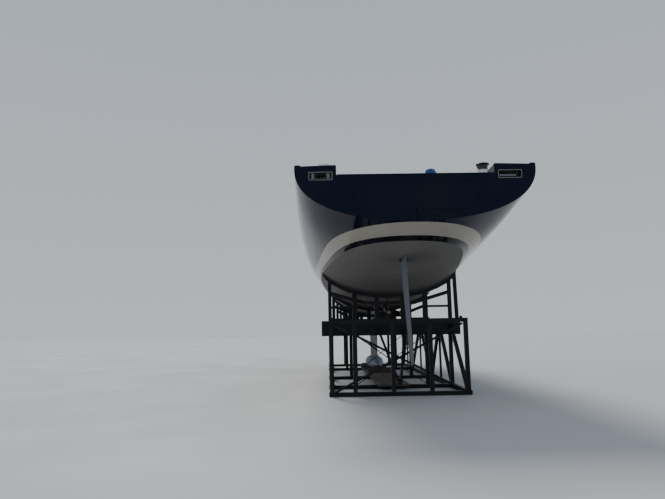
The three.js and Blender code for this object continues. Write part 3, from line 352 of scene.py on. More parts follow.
def make_timber():
    """Rough sawn planks under the keel, grey with age."""
    paint = Paint("rough_timber", rough=0.85)
    wood, grain = wood_grain(paint, 22.0, (0.125, 0.096, 0.070), (0.056, 0.043, 0.033), 1)
    grey = paint.fade(paint.noise(2.4, 5.0, 0.6), 0.4, 0.7, 0.0, 0.6)
    saw = paint.noise(90.0, 2.0, 0.5, stretch=(1.0, 1.0, 6.0))
    paint.paint(paint.mix(grey, wood, (0.105, 0.098, 0.090))).bump(grain, 0.0035).bump(saw, 0.0010)
    return paint.material


def make_cradle_steel():
    """Near-black paint over welded tube, worn to rust at edges and in patches, with dust on top faces."""
    paint = Paint("cradle_steel", rough=0.5, specular=0.22)
    tone = paint.noise(2.2, 6.0, 0.6)
    black = paint.mix(paint.fade(tone, 0.35, 0.7), (0.0050, 0.0070, 0.0110), (0.0105, 0.0125, 0.0165))
    chips = paint.noise(55.0, 5.0, 0.75)
    patches = paint.noise(6.0, 4.0, 0.6)
    worn_edge = paint.math("MULTIPLY", paint.edges(0.008), paint.fade(chips, 0.50, 0.60))
    rusty = paint.math("MULTIPLY", paint.fade(patches, 0.60, 0.70), paint.fade(chips, 0.48, 0.58))
    rust = paint.mix(paint.noise(80.0), (0.085, 0.032, 0.014), (0.035, 0.017, 0.011))
    worn = paint.math("MAXIMUM", worn_edge, paint.math("MULTIPLY", rusty, 0.8))
    level = paint.fade(paint.axis("Z", paint.normal()), 0.55, 0.95)
    dust = paint.math("MULTIPLY", level, paint.fade(paint.noise(14.0, 5.0), 0.35, 0.65))
    dusty = paint.math("MULTIPLY", dust, 0.40)
    paint.paint(paint.mix(dusty, paint.mix(worn, black, rust), (0.11, 0.098, 0.082)))
    paint.rough(paint.blend(worn, paint.fade(tone, 0.3, 0.7, 0.34, 0.55), 0.9))
    paint.bump(worn, 0.0005, 0.7).bump(paint.noise(140.0, 3.0, 0.6), 0.0003)
    return paint.material


def make_metal(name, tone, rough, brush=0.0, tarnish=0.12, tarnish_tone=(0.05, 0.05, 0.05)):
    paint = Paint(name, rough=rough, metal=1.0)
    cover = paint.fade(paint.noise(16.0, 6.0, 0.65), 0.42, 0.75, 0.0, tarnish)
    paint.paint(paint.mix(cover, tone, tarnish_tone)).satin(30.0, rough * 0.8, rough * 1.35)
    if brush:
        paint.bump(paint.noise(220.0, 2.0, 0.5, stretch=(1.0, 0.04, 1.0)), brush)
    return paint.material


def make_plain(name, tone, other, rough, scale=12.0, grain=150.0, depth=0.0003):
    """A non-metal whose colour drifts between two tones over a fine grain."""
    paint = Paint(name, rough=rough)
    paint.paint(paint.mix(paint.fade(paint.noise(scale, 5.0, 0.6), 0.35, 0.68), tone, other))
    paint.satin(scale * 2, rough * 0.85, min(rough * 1.2, 1.0)).bump(paint.noise(grain, 3.0, 0.6), depth)
    return paint.material


def make_cloth(name, tone, shade, thread=0.0011):
    """Woven cloth: crossing threads from two waves, with sheen."""
    paint = Paint(name, rough=0.9, **{"Sheen Weight": 0.4, "Sheen Roughness": 0.45})
    size = {"Vector": paint.place, "Scale": 0.314 / thread, "Distortion": 0.6}
    waves = [paint.node("ShaderNodeTexWave", size, bands_direction=way).outputs["Fac"] for way in ("X", "Y")]
    worn = paint.fade(paint.noise(9.0, 5.0, 0.6), 0.35, 0.7)
    paint.paint(paint.mix(paint.math("MULTIPLY", worn, 0.7), tone, shade))
    paint.bump(paint.math("MULTIPLY", *waves), thread * 0.4, 0.6)
    return paint.material


HULL_PAINT = make_hull_paint()
NAVY_GLOSS = make_navy()
HULL_INSIDE = make_inside_hull()
ANTIFOULING = make_antifouling("rudder_paint", (0.112, 0.128, 0.152))
FIN_PAINT = make_antifouling("fin_paint", (0.172, 0.178, 0.185))
BULB_PAINT = make_antifouling("bulb_paint", (0.170, 0.205, 0.275), 0.5)
WHITE = make_white()
DECK_TEAK = make_teak("deck_teak", 0.052)
SEAT_TEAK = make_teak("seat_teak", 0.045)
STEP_TEAK = make_teak("step_teak", 0.060, 0)
PLAIN_TEAK = make_teak("plain_teak", 0.0)
TIMBER = make_timber()
CRADLE_STEEL = make_cradle_steel()
STAINLESS = make_metal("stainless", (0.62, 0.62, 0.61), 0.16)
BRUSHED = make_metal("brushed_stainless", (0.55, 0.55, 0.55), 0.32, 0.00012)
ALLOY = make_metal("satin_alloy", (0.42, 0.43, 0.44), 0.38)
ROLLER_ALLOY = make_metal("roller_alloy", (0.17, 0.185, 0.205), 0.45)
BRONZE = make_metal("dark_bronze", (0.085, 0.062, 0.040), 0.5, 0.0, 0.85, (0.028, 0.030, 0.027))
ANODE = make_plain("zinc", (0.36, 0.37, 0.38), (0.20, 0.21, 0.21), 0.7)
RUBBER = make_plain("black_rubber", (0.013, 0.013, 0.013), (0.028, 0.027, 0.026), 0.75)
BLUE_CLOTH = make_cloth("blue_cloth", (0.012, 0.085, 0.30), (0.008, 0.045, 0.17))
WHITE_CLOTH = make_cloth("white_cloth", (0.80, 0.82, 0.84), (0.62, 0.66, 0.70))

# Finer plain materials. Columns: name, tone, other tone, roughness, scale of the drift, grain, its depth.
BLACK_ALLOY, GLASS, LEATHER, CARPET, WELD = [make_plain(*row) for row in (
    ("black_anodised", (0.011, 0.012, 0.013), (0.021, 0.022, 0.024), 0.33, 20.0, 300.0, 0.00005),
    ("smoked_glass", (0.006, 0.007, 0.009), (0.008, 0.010, 0.012), 0.06, 3.0, 60.0, 0.00002),
    ("stitched_leather", (0.030, 0.024, 0.020), (0.052, 0.042, 0.033), 0.55, 25.0, 900.0, 0.0004),
    ("saddle_carpet", (0.032, 0.034, 0.037), (0.062, 0.060, 0.058), 0.95, 18.0, 500.0, 0.003),
    ("weld_bead", (0.014, 0.015, 0.018), (0.040, 0.026, 0.018), 0.5, 60.0, 300.0, 0.0006),
)]


# Shapes


class Shape:
    """Gathers mesh parts in a frame of its own and finishes them as one piece."""

    def __init__(self, place=WORLD):
        self.mesh = bmesh.new()
        self.place = place
        self.paints = []
        self.current = 0

    def use(self, material):
        if material not in self.paints:
            self.paints.append(material)
        self.current = self.paints.index(material)
        return self

    def add(self, points, faces):
        made = [self.mesh.verts.new(point) for point in points]
        for face in faces:
            self.mesh.faces.new([made[i] for i in face]).material_index = self.current

    def loft(self, rings, capped=True):
        """Skins closed rings of equal counts; capped closes the two ends."""
        count = len(rings[0])
        faces = []
        for r in range(len(rings) - 1):
            for i in range(count):
                a, b = r * count + i, r * count + (i + 1) % count
                faces.append((a, b, b + count, a + count))
        if capped:
            faces.append(tuple(range(count))[::-1])
            faces.append(tuple((len(rings) - 1) * count + i for i in range(count)))
        self.add([point for ring in rings for point in ring], faces)

    def box(self, low, high):
        (x0, y0, z0), (x1, y1, z1) = low, high
        x0, x1 = sorted((x0, x1))
        self.loft([[(x0, y0, z), (x1, y0, z), (x1, y1, z), (x0, y1, z)] for z in (z0, z1)])

    def block(self, at, half_x, half_y, high):
        """A box that stands on a point."""
        x, y, z = at
        self.box((x - half_x, y - half_y, z), (x + half_x, y + half_y, z + high))

    def frame_at(self, start, end, side=(0.0, 1.0, 0.0)):
        """A turned frame at start whose z runs to end and whose x lies towards side."""
        z = (Vector(end) - Vector(start)).normalized()
        side = Vector(side)
        if abs(z.dot(side)) > 0.999:
            side = Vector((1.0, 0.0, 0.0))
        x = (side - z * z.dot(side)).normalized()
        turned = Matrix((x, z.cross(x), z)).transposed().to_4x4()
        return Matrix.Translation(start) @ turned

    def bar(self, start, end, wide, deep, side=(0.0, 1.0, 0.0)):
        here = self.frame_at(start, end, side)
        corners = [(x * deep / 2, y * wide / 2) for x, y in ((-1, -1), (1, -1), (1, 1), (-1, 1))]
        long = (Vector(end) - Vector(start)).length
        self.loft([[here @ Vector((*corner, z)) for corner in corners] for z in (0.0, long)])

    def rod(self, start, end, radius, count=16, end_radius=None):
        here = self.frame_at(start, end)
        ends = (0.0, radius), ((Vector(end) - Vector(start)).length, end_radius or radius)
        self.loft([[here @ Vector((*point, z)) for point in circle(r, count)] for z, r in ends])

    def lathe(self, profile, count=48, at=(0.0, 0.0, 0.0), to=None):
        """Turns [radius, height] pairs about the line from at towards to, which is +Z by default."""
        here = self.frame_at(at, to) if to else Matrix.Translation(at)
        self.loft([[here @ Vector((*point, height)) for point in circle(max(radius, 1e-5), count)]
                   for radius, height in profile])

    def disc(self, at, radius, high, count=24, edge=0.0, drop=0.0):
        """A level disc that stands on a point; edge and drop take its rim off."""
        profile = [(0.0, 0.0), (radius, 0.0), (radius, high - drop), (radius - edge, high), (0.0, high)]
        self.lathe(profile, count, at)

    def tube(self, path, radius, count=10, closed=False):
        """A round tube along points; its section turns as little as it can."""
        points = [Vector(point) for point in path]
        last = len(points) - 1
        side = None
        rings = []
        for i, point in enumerate(points):
            if closed:
                ahead = points[(i + 1) % len(points)] - points[i - 1]
            else:
                ahead = points[min(i + 1, last)] - points[max(i - 1, 0)]
            z = ahead.normalized()
            if side is None:
                side = Vector((0, 0, 1)) if abs(z.z) < 0.9 else Vector((1, 0, 0))
            side = (side - z * z.dot(side)).normalized()
            up = z.cross(side)
            wide = radius[i] if isinstance(radius, list) else radius
            rings.append([point + side * a + up * b for a, b in circle(wide, count)])
        if closed:
            rings.append(rings[0])
        self.loft(rings, capped=not closed)

    def eye(self, foot, reach, rise, radius, count=13):
        """A half-round eye; reach runs from the middle of its foot to one leg."""
        foot, reach = Vector(foot), Vector(reach)
        self.tube([foot + reach * math.cos(a) + Vector((0.0, 0.0, rise * math.sin(a)))
                   for a in spread(0.0, math.pi, count)], radius, 8)

    def bolt(self, at, towards, size):
        """A hexagon head over a washer."""
        here, normal = Vector(at), Vector(towards).normalized()
        self.rod(here, here + normal * size * 0.18, size * 1.05)
        self.rod(here + normal * size * 0.18, here + normal * size * 0.85, size * 0.82, 6)

    def finish(self, name, body, slot, bevel=0.0, angle=32, replaces=(), weld=1e-5):
        bmesh.ops.remove_doubles(self.mesh, verts=self.mesh.verts, dist=weld)
        bmesh.ops.dissolve_degenerate(self.mesh, edges=self.mesh.edges, dist=weld)
        bmesh.ops.recalc_face_normals(self.mesh, faces=self.mesh.faces)
        bmesh.ops.transform(self.mesh, matrix=self.place, verts=self.mesh.verts)
        return finish_piece(name, self.mesh, self.paints, body, bevel, 2, angle, replaces)


def finish_piece(name, mesh, paints, body, bevel, segments, angle, replaces):
    """Turns a mesh into a piece: edges rounded, shading smooth between sharp ones, riding its body."""
    data = bpy.data.meshes.new(name)
    mesh.to_mesh(data)
    mesh.free()
    for paint in paints:
        data.materials.append(paint)
    piece = bpy.data.objects.new(name, data)
    bpy.context.scene.collection.objects.link(piece)
    data.polygons.foreach_set("use_smooth", [True] * len(data.polygons))
    if bevel:
        rounding = piece.modifiers.new("rounding", "BEVEL")
        rounding.width = bevel
        rounding.segments = segments
        rounding.limit_method = "ANGLE"
        rounding.angle_limit = math.radians(angle)
        rounding.harden_normals = True
        rounding.use_clamp_overlap = True
    data.set_sharp_from_angle(angle=math.radians(60 if bevel else angle))
    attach(piece, body)
    if replaces:
        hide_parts(*replaces)
    return piece


def body_of(node):
    return next(body for body, nodes in frame["record"]["behaviour"]["bodies"].items() if node in nodes)


def dress(node, name, slot, material, bevel, segments=2, angle=32):
    """A copy of a CAD node with merged flats and rounded edges, which replaces the node."""
    cad = frame["nodes"][node]
    mesh = bmesh.new()
    mesh.from_mesh(cad.data)
    mesh.transform(cad.matrix_world)
    bmesh.ops.remove_doubles(mesh, verts=mesh.verts, dist=2e-5)
    bmesh.ops.dissolve_limit(mesh, angle_limit=math.radians(0.6), verts=mesh.verts, edges=mesh.edges)
    finish_piece(name, mesh, [material], body_of(node), bevel, segments, angle, (node,))


def rounded(corners, steps=6):
    """An outline with each corner (x, y, radius) replaced by an arc."""
    outline = []
    for i, (x, y, radius) in enumerate(corners):
        if radius <= 0:
            outline.append((x, y))
            continue
        here = Vector((x, y))
        before = (Vector(corners[i - 1][:2]) - here).normalized()
        after = (Vector(corners[(i + 1) % len(corners)][:2]) - here).normalized()
        half = before.angle(after) / 2
        reach = radius / math.tan(half)
        centre = here + (before + after).normalized() * radius / math.sin(half)
        first, last = here + before * reach - centre, here + after * reach - centre
        sweep = first.angle_signed(last)
        for k in range(steps + 1):
            outline.append(tuple(centre + Matrix.Rotation(-sweep * k / steps, 2) @ first))
    return outline


def rounded_box(x, y, half_x, half_y, radius, steps=6):
    corners = ((-1, -1), (1, -1), (1, 1), (-1, 1))
    return rounded([(x + a * half_x, y + b * half_y, radius) for a, b in corners], steps)


def curve_plate(name, outlines, thick, bevel, material):
    """A flat plate with holes: a filled 2D curve, extruded and rounded, turned into a mesh."""
    data = bpy.data.curves.new(name, "CURVE")
    data.dimensions = "2D"
    data.fill_mode = "BOTH"
    data.extrude = max(thick / 2 - bevel, 0.0)
    data.bevel_depth = bevel
    data.bevel_resolution = 2
    data.offset = -bevel
    for outline in outlines:
        spline = data.splines.new("POLY")
        spline.points.add(len(outline) - 1)
        for point, (x, y) in zip(spline.points, outline):
            point.co = (x, y, 0.0, 1.0)
        spline.use_cyclic_u = True
    helper = bpy.data.objects.new(name + "_curve", data)
    mesh = bpy.data.meshes.new_from_object(helper)
    bpy.data.objects.remove(helper)
    shape = Shape()
    shape.mesh.from_mesh(mesh)
    bpy.data.meshes.remove(mesh)
    return shape.use(material)


def stern_plate(name, outlines, thick, bevel, y, material):
    """A plate that stands across the stern with its middle at y."""
    shape = curve_plate(name, outlines, thick, bevel, material)
    standing = Matrix.Translation((0, y, 0)) @ Matrix.Rotation(math.radians(90), 4, "X")
    bmesh.ops.transform(shape.mesh, matrix=standing, verts=shape.mesh.verts)
    return shape


# Camera, light and floor

CAMERA_AT = (-1.766, -21.562, 1.6)
CAMERA_TURN, CAMERA_UP, CAMERA_ROLL = -0.6, 8.38, -0.914
FOCAL_PIXELS, IMAGE_WIDE, SENSOR = 553.6, 665, 36.0


def make_camera():
    data = bpy.data.cameras.new("camera")
    data.sensor_fit = "HORIZONTAL"
    data.sensor_width = SENSOR
    data.lens = FOCAL_PIXELS / IMAGE_WIDE * SENSOR
    data.clip_end = 500.0
    camera = bpy.data.objects.new("camera", data)
    bpy.context.scene.collection.objects.link(camera)
    camera.matrix_world = (Matrix.Translation(CAMERA_AT) @ Matrix.Rotation(math.radians(CAMERA_TURN), 4, "Z")
                           @ Matrix.Rotation(math.radians(90 + CAMERA_UP), 4, "X")
                           @ Matrix.Rotation(math.radians(CAMERA_ROLL), 4, "Z"))
    bpy.context.scene.camera = camera


def make_sun(towards, strength, soft, tone):
    data = bpy.data.lights.new("key", "SUN")
    data.energy = strength
    data.angle = math.radians(soft)
    data.color = tone
    light = bpy.data.objects.new("key", data)
    bpy.context.scene.collection.objects.link(light)
    light.rotation_euler = Vector(towards).to_track_quat("-Z", "Y").to_euler()


def make_world():
    world = bpy.data.worlds.new("studio")
    world.use_nodes = True
    bpy.context.scene.world = world
    tree = world.node_tree
    place = tree.nodes.new("ShaderNodeTexCoord")
    split = tree.nodes.new("ShaderNodeSeparateXYZ")
    ramp = tree.nodes.new("ShaderNodeValToRGB")
    tree.links.new(place.outputs["Generated"], split.inputs[0])
    tree.links.new(split.outputs["Z"], ramp.inputs["Fac"])
    tones = (0.0, (0.80, 0.83, 0.86, 1)), (0.65, (0.58, 0.66, 0.78, 1))
    for element, (position, tone) in zip(ramp.color_ramp.elements, tones):
        element.position = position
        element.color = tone
    tree.links.new(ramp.outputs["Color"], tree.nodes["Background"].inputs["Color"])
    tree.nodes["Background"].inputs["Strength"].default_value = 0.75


def make_floor(reach=150.0):
    pale = make_plain("pale_floor", (0.56, 0.56, 0.555), (0.54, 0.54, 0.535), 0.8, 0.15, 30.0, 0.0008)
    floor = Shape()
    corners = ((-1, -1), (1, -1), (1, 1), (-1, 1))
    floor.add([(x * reach, y * reach, 0) for x, y in corners], [(0, 1, 2, 3)])
    data = bpy.data.meshes.new("floor")
    floor.mesh.to_mesh(data)
    data.materials.append(pale)
    plane = bpy.data.objects.new("floor", data)
    bpy.context.scene.collection.objects.link(plane)
    plane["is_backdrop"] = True


make_camera()
make_world()
make_sun((7.0, -24.0, -26.0), 2.3, 22.0, (1.0, 0.97, 0.92))
make_floor()


# Hull

SKIN_RINGS, SKIN_HALF, SKIN_THICK = 150, 48, 0.004
CROWDING = 0.06  # how much closer the skin's rings stand towards the stern

ANGLES = spread(0.0, math.pi / 2, SKIN_HALF)


def hull_section(y, out=SKIN):
    """Points round the section from the port sheer under the keel to the starboard sheer."""
    ring = [hull_point(y, angle, -1, out) for angle in reversed(ANGLES)]
    ring += [hull_point(y, angle, 1, out) for angle in ANGLES[1:]]
    for point in ring:
        point.y = min(max(point.y, STERN), BOW)
    return ring


def make_hull_skin():
    """The painted skin, a thin closed shell that stands just proud of the faceted hull."""
    shape = Shape().use(HULL_PAINT)
    rings = []
    for t in spread(0.0, 1.0, SKIN_RINGS):
        y = STERN + (BOW - STERN) * (t + CROWDING * math.sin(math.pi * t) * t)
        rings.append(hull_section(y) + hull_section(y, SKIN - SKIN_THICK)[::-1])
    shape.loft(rings, capped=False)
    last = len(rings[0]) - 1
    for ring in (rings[0], rings[-1]):
        shape.add(ring, [(i, i + 1, last - i - 1, last - i) for i in range(last // 2)])
    shape.finish("hull_skin", "yacht", "topsides", angle=40)


DOOR = {"top": 4.500, "bottom": 3.935, "half_top": 1.380, "half_bottom": 1.080, "corner": 0.035}
DOOR_GAP = 0.0035
FAIRLEAD = {"x": 1.870, "z": 4.617, "half": 0.235, "high": 0.083}
CAP = {"high": 0.022, "over": 0.006, "round": 0.014}


def door_outline(grow, radius=DOOR["corner"]):
    corners = [(side * (DOOR["half_" + end] + grow), DOOR[end] + up * grow, radius)
               for end, side, up in (("bottom", -1, -1), ("bottom", 1, -1), ("top", 1, 1), ("top", -1, 1))]
    return rounded(corners)


def slot_outline(side, grow=0.0, radius=0.012):
    wide, high = FAIRLEAD["half"] + grow, FAIRLEAD["high"] + grow
    return rounded_box(side * FAIRLEAD["x"], FAIRLEAD["z"], wide, high, radius)


def make_transom():
    """The navy face of the transom, with the door's opening and the two fairlead slots."""
    outline = [(point.x, point.z) for point in hull_section(STERN)]
    x, z = outline[-1]
    top, edge = along(HULL_TABLE, STERN)[2] + CAP["high"], CORNER_INNER
    right = [(x, z, 0.0), (x - 0.004, top - 0.012, 0.01), (x - 0.105, top, 0.012),
             (x - 0.125, top - CAP["high"], 0.01), (edge + 0.05, top - 0.004, 0.01),
             (edge, top - 0.003, 0.02), (edge, DECK_Z, 0.03)]
    left = [(-x, z, radius) for x, z, radius in reversed(right)]
    holes = [door_outline(DOOR_GAP), slot_outline(-1), slot_outline(1)]
    plate = stern_plate("transom", [outline[1:-1] + rounded(right + left, 4), *holes], SKIN, 0.0012,
                        STERN - SKIN / 2, NAVY_GLOSS)
    plate.finish("transom_face", "yacht", "topsides", angle=50)


def cap_profile(outer, inner, z):
    """A rounded bulwark cap, from its outer edge over the top to its inner edge."""
    low, high, r = z - 0.012, z + CAP["high"], CAP["round"]
    corner = lambda x, sign: [(x + sign * r * (math.cos(a) - 1), high + r * (math.sin(a) - 1))
                              for a in spread(0.0, math.pi / 2, 5)]
    return [(outer, low), *corner(outer, 1), *reversed(corner(inner, -1)), (inner, low)]


def make_bulwark_cap():
    shape = Shape().use(NAVY_GLOSS)
    for side, _ in SIDES:
        rings = []
        for y in spread(STERN - 0.001, BOW - 0.03, 120):
            _, beam, sheer, *_ = along(HULL_TABLE, y)
            outer = beam + CAP["over"]
            inner = min(max(beam - CAP["over"] - BULWARK, 0.0), outer - 0.03)
            rings.append([(side * x, y, z) for x, z in cap_profile(outer, inner, sheer)])
        shape.loft(rings)
    shape.finish("bulwark_cap", "yacht", "topsides", angle=40)


def foil_ring(ahead, behind, thick, y, z, steps):
    """A streamlined section about the centreline, from its leading edge round and back."""
    ring = []
    for sign, order in ((1, range(steps)), (-1, range(steps, 0, -1))):
        for k in order:
            t = (1 - math.cos(math.pi * k / steps)) / 2
            form = 2.97 * math.sqrt(t) - 1.26 * t - 3.52 * t**2 + 2.84 * t**3 - 1.03 * t**4
            ring.append((sign * thick * form / 2, y + ahead - (ahead + behind) * t, z))
    return ring


# Keel fin. Columns: height, chord, thickness. It spreads by FIN_SPREAD just under the hull.
FIN_FOOT, FIN_HEAD = (0.50, 1.35, 0.25), (2.90, 1.75, 0.29)
FIN_Y, FIN_SPREAD = -0.15, 0.02
BULB = {"y": -0.10, "long": 3.80, "half": 0.32, "low": 0.165, "high": 0.66, "blunt": 0.85}
BULB_MIDDLE, BULB_HALF_HIGH = (BULB["low"] + BULB["high"]) / 2, (BULB["high"] - BULB["low"]) / 2


def make_fin():
    shape = Shape().use(FIN_PAINT)
    rings = []
    for t in spread(0.0, 1.0, 26):
        z, chord, thick = [foot + (head - foot) * t for foot, head in zip(FIN_FOOT, FIN_HEAD)]
        flare = max(0.0, (t - 0.70) / 0.10) ** 2 * FIN_SPREAD if t < 0.80 else 0.0
        rings.append(foil_ring(chord / 2 + flare, chord / 2 + flare, thick + flare, FIN_Y, z, 26))
    shape.loft(rings)
    shape.finish("keel_fin_fair", "yacht", "antifouling", angle=50, replaces=("keel_fin",))


def bulb_swell(t):
    """How full the bulb is, as a share, from its after end at 0 to its nose at 1."""
    return max(abs(math.sin(math.pi * t**1.25)) ** 0.62, 0.03)


def make_bulb(steps=56, around=60):
    shape = Shape().use(BULB_PAINT)
    rings = []
    for k in range(steps + 1):
        t = (1 - math.cos(math.pi * k / steps)) / 2
        y, grow = BULB["y"] + BULB["long"] * (t - 0.5), bulb_swell(t)
        rings.append([(BULB["half"] * grow * math.copysign(abs(a) ** BULB["blunt"], a), y,
                       BULB_MIDDLE + BULB_HALF_HIGH * grow * b) for a, b in circle(1.0, around)])
    shape.loft(rings)
    shape.finish("keel_bulb_fair", "yacht", "bulb_paint", angle=50, replaces=("keel_bulb",))


RUDDER = {"y": -8.90, "rake": 15.0, "gap": 0.06, "long": 2.40, "stock": 0.05}
# Rudder blade. Columns: distance below the top, chord ahead of the stock, chord behind it, thickness.
BLADE_TABLE = [(0.0, 0.215, 0.405, 0.118), (0.8, 0.150, 0.415, 0.096), (1.6, 0.060, 0.415, 0.072),
               (2.4, -0.070, 0.405, 0.042)]


def make_rudder():
    top = Matrix.Translation((0, RUDDER["y"], along(HULL_TABLE, RUDDER["y"])[3]))
    shape = Shape(top @ Matrix.Rotation(math.radians(-RUDDER["rake"]), 4, "X")).use(ANTIFOULING)
    rings = []
    for down in spread(0.0, RUDDER["long"], 40):
        _, ahead, behind, thick = along(BLADE_TABLE, down)
        rings.append(foil_ring(ahead, behind, thick, 0.0, -RUDDER["gap"] - down, 22))
    tip = rings[-1]
    centre = sum(point[1] for point in tip) / len(tip)
    for shrink, drop in ((0.94, 0.007), (0.80, 0.013), (0.5, 0.016)):
        long = 0.9 + 0.1 * shrink
        rings.append([(x * shrink, centre + (y - centre) * long, z - drop) for x, y, z in tip])
    shape.loft(rings)
    shape.use(STAINLESS).rod((0, 0, -RUDDER["gap"] - 0.15), (0, 0, 0.4), RUDDER["stock"], 40)
    shape.finish("rudder_fair", "rudder", "antifouling", angle=50, replaces=("rudder",))


STEM_ROUND = 0.007
STEM_NOSE = [(0.0, 1.0), (0.4, 0.93), (0.8, 0.6), (1.0, 0.0), (1.0, -4.0)]


def make_stem():
    """A rounded facing over the hull's blunt forward end, painted in the same bands."""
    shape = Shape().use(HULL_PAINT)
    profile = [(-x, y) for x, y in reversed(STEM_NOSE[1:])] + STEM_NOSE
    rings = []
    for angle in ANGLES:
        edge = hull_surface(BOW, angle, 1)
        rings.append([((edge.x + SKIN) * x, edge.y + STEM_ROUND * y, edge.z) for x, y in profile])
    shape.loft(rings)
    shape.finish("stem_facing", "yacht", "topsides", angle=50)


make_hull_skin()
make_stem()
make_transom()
make_bulwark_cap()
make_fin()
make_bulb()
make_rudder()


# Stern: door, quarters, fairleads, winches and the two cloths

HINGE = {"y": -11.020, "z": 3.925, "places": (-0.8, 0.0, 0.8), "held": 0.030, "lug": 0.040, "radius": 0.017}
DOOR_SKIN, DOOR_LINING = 0.046, 0.012


def make_transom_door():
    """The fold-down door: a navy skin flush with the transom and teak on the side that becomes a step."""
    outer = STERN - SKIN
    plate = stern_plate("door_skin", [door_outline(0.0)], DOOR_SKIN, 0.0025, outer + DOOR_SKIN / 2,
                        NAVY_GLOSS)
    plate.finish("transom_door_skin", "transom_door", "topsides", angle=50, replaces=("transom_door",))
    inside = stern_plate("door_teak", [door_outline(-0.045, 0.04)], DOOR_LINING, 0.002,
                         outer + DOOR_SKIN + DOOR_LINING / 2, STEP_TEAK)
    inside.finish("transom_door_teak", "transom_door", "teak", angle=50)
    knuckles = Shape().use(NAVY_GLOSS)
    y, z, held = HINGE["y"], HINGE["z"], HINGE["held"]
    for x in HINGE["places"]:
        knuckles.rod((x - held, y, z), (x + held, y, z), HINGE["radius"], 28)
        knuckles.box((x - held, y - 0.004, z), (x + held, outer + 0.012, z + HINGE["lug"]))
        for end in (-1, 1):
            knuckles.lathe([(0.008, 0.0), (0.008, 0.026), (0.006, 0.029)], 16,
                           (x + end * held, y, z), (x + end * (held + 0.03), y, z))
    knuckles.finish("transom_door_knuckles", "transom_door", "topsides", bevel=0.003, angle=40)


LIP = {"wide": 0.014, "thick": 0.006, "front": STERN - 0.004, "back": STERN + 0.086}
THROAT = {"floor": 4.575, "far": -10.512, "half": FAIRLEAD["half"] - 0.0008, "thin": 0.004}
ROLLER_Y = STERN + 0.040


def roller(rim, waist, rim_at, waist_at, long):
    """Profile of a waisted roller, the same at both ends."""
    end = [(0.0, 0.0), (rim - 0.008, 0.0), (rim - 0.001, 0.006), (rim, rim_at), (waist, waist_at)]
    return end + [(radius, long - height) for radius, height in reversed(end)]


def make_throat(shape, x, z):
    """The black lining behind the slot: a sill, a floor and two cheeks, with a flap at the far end's top that
    is painted shade: a black sheet standing in for the shade beyond the slot.
    """
    half, floor, thin, far = THROAT["half"], THROAT["floor"], THROAT["thin"], THROAT["far"]
    near, top = LIP["back"] + 0.001, z + FAIRLEAD["high"] - 0.001
    shape.box((x - half, near, z - FAIRLEAD["high"] + 0.001), (x + half, near + thin, floor + thin))
    shape.box((x - half, near, floor + 0.0006), (x + half, far, floor + thin))
    # Painted shade: this black flap at the far end's top stands in for the shade beyond the slot and hides
    # the pale pod behind it.
    shape.box((x - half, far - 0.048, z + 0.051), (x + half, far - 0.043, top))
    for end in (-1, 1):
        shape.box((x + end * (half - thin), near, floor + 0.0006), (x + end * half, far - 0.042, top))


def make_fairlead(side, name):
    """A slot lined with black alloy behind a narrow polished lip, with rollers for the lines."""
    x, y, z = side * FAIRLEAD["x"], ROLLER_Y, FAIRLEAD["z"]
    middle, tall = STERN - SKIN / 2, FAIRLEAD["high"] - LIP["wide"]
    rims = [slot_outline(side, -0.0006, 0.016), slot_outline(side, 0.003 - LIP["wide"])]
    shape = stern_plate("lip", rims, LIP["thick"], 0.002, middle - 0.003, BLACK_ALLOY)
    outer, inner = slot_outline(side, -0.001, 0.016), slot_outline(side, -LIP["wide"])
    front, back = LIP["front"], LIP["back"]
    loop = ((outer, front), (outer, back), (inner, back), (inner, front), (outer, front))
    shape.loft([[(px, py, pz) for px, pz in outline] for outline, py in loop], capped=False)
    make_throat(shape, x, z)
    bead = [(px, middle - 0.0075, pz) for px, pz in slot_outline(side, -0.004, 0.014)]
    shape.use(STAINLESS).tube(bead, 0.0030, 8, closed=True)
    shape.use(ROLLER_ALLOY)
    if side < 0:
        for dx in (-0.152, 0.152):
            shape.lathe(roller(0.044, 0.042, 0.014, 0.024, 0.126), 40, (x + dx, y, z - 0.063))
        cheeks = [(dx - 0.004, dx + 0.004, -0.030, 0.034) for dx in (-0.100, -0.206, 0.100, 0.206)]
    else:
        low = z - 0.022
        shape.lathe(roller(0.036, 0.033, 0.020, 0.034, 0.334), 40, (x - 0.208, y, low), (x, y, low))
        cheeks = [(0.135, 0.150, -0.034, 0.036)]
    shape.use(BLACK_ALLOY)
    for x0, x1, y0, y1 in cheeks:
        shape.box((x + x0, y + y0, z - tall), (x + x1, y + y1, z + tall))
    node = f"fairlead_{name}"
    shape.finish(node + "_lined", "yacht", "stainless", angle=40, replaces=(node,))


# Profile of a two-speed winch. Columns: radius, height.
WINCH_PROFILE = [
    (0.0, 0.0),
    (0.115, 0.0), (0.118, 0.003), (0.118, 0.010), (0.115, 0.0135), (0.1105, 0.019), (0.1095, 0.024),
    (0.1085, 0.040), (0.1075, 0.060), (0.1072, 0.090), (0.1085, 0.100), (0.1115, 0.108), (0.130, 0.1135),
    (0.1385, 0.118), (0.139, 0.1215), (0.131, 0.1235), (0.104, 0.1245), (0.104, 0.1285), (0.131, 0.1295),
    (0.1405, 0.1315), (0.141, 0.1375), (0.137, 0.144), (0.122, 0.1505), (0.110, 0.1525), (0.106, 0.1515),
    (0.1045, 0.1555), (0.074, 0.1645), (0.060, 0.1668), (0.0585, 0.1645), (0.056, 0.1668), (0.036, 0.1710),
    (0.0265, 0.1716), (0.0240, 0.1700), (0.0235, 0.1640), (0.0235, 0.1450), (0.0, 0.1450),
]
DRUM_LOW, DRUM_HIGH, DRUM_RIBS, RIB_DEEP = 0.021, 0.102, 30, 0.0022
# Polished rings of a winch. Columns: inner radius, outer radius, foot, top outside, top inside.
WINCH_RINGS = [(0.0565, 0.0590, 0.1655, 0.1682, 0.1682), (0.1065, 0.1090, 0.1490, 0.1540, 0.1545),
               (0.1180, 0.1190, 0.0045, 0.0085, 0.0085)]
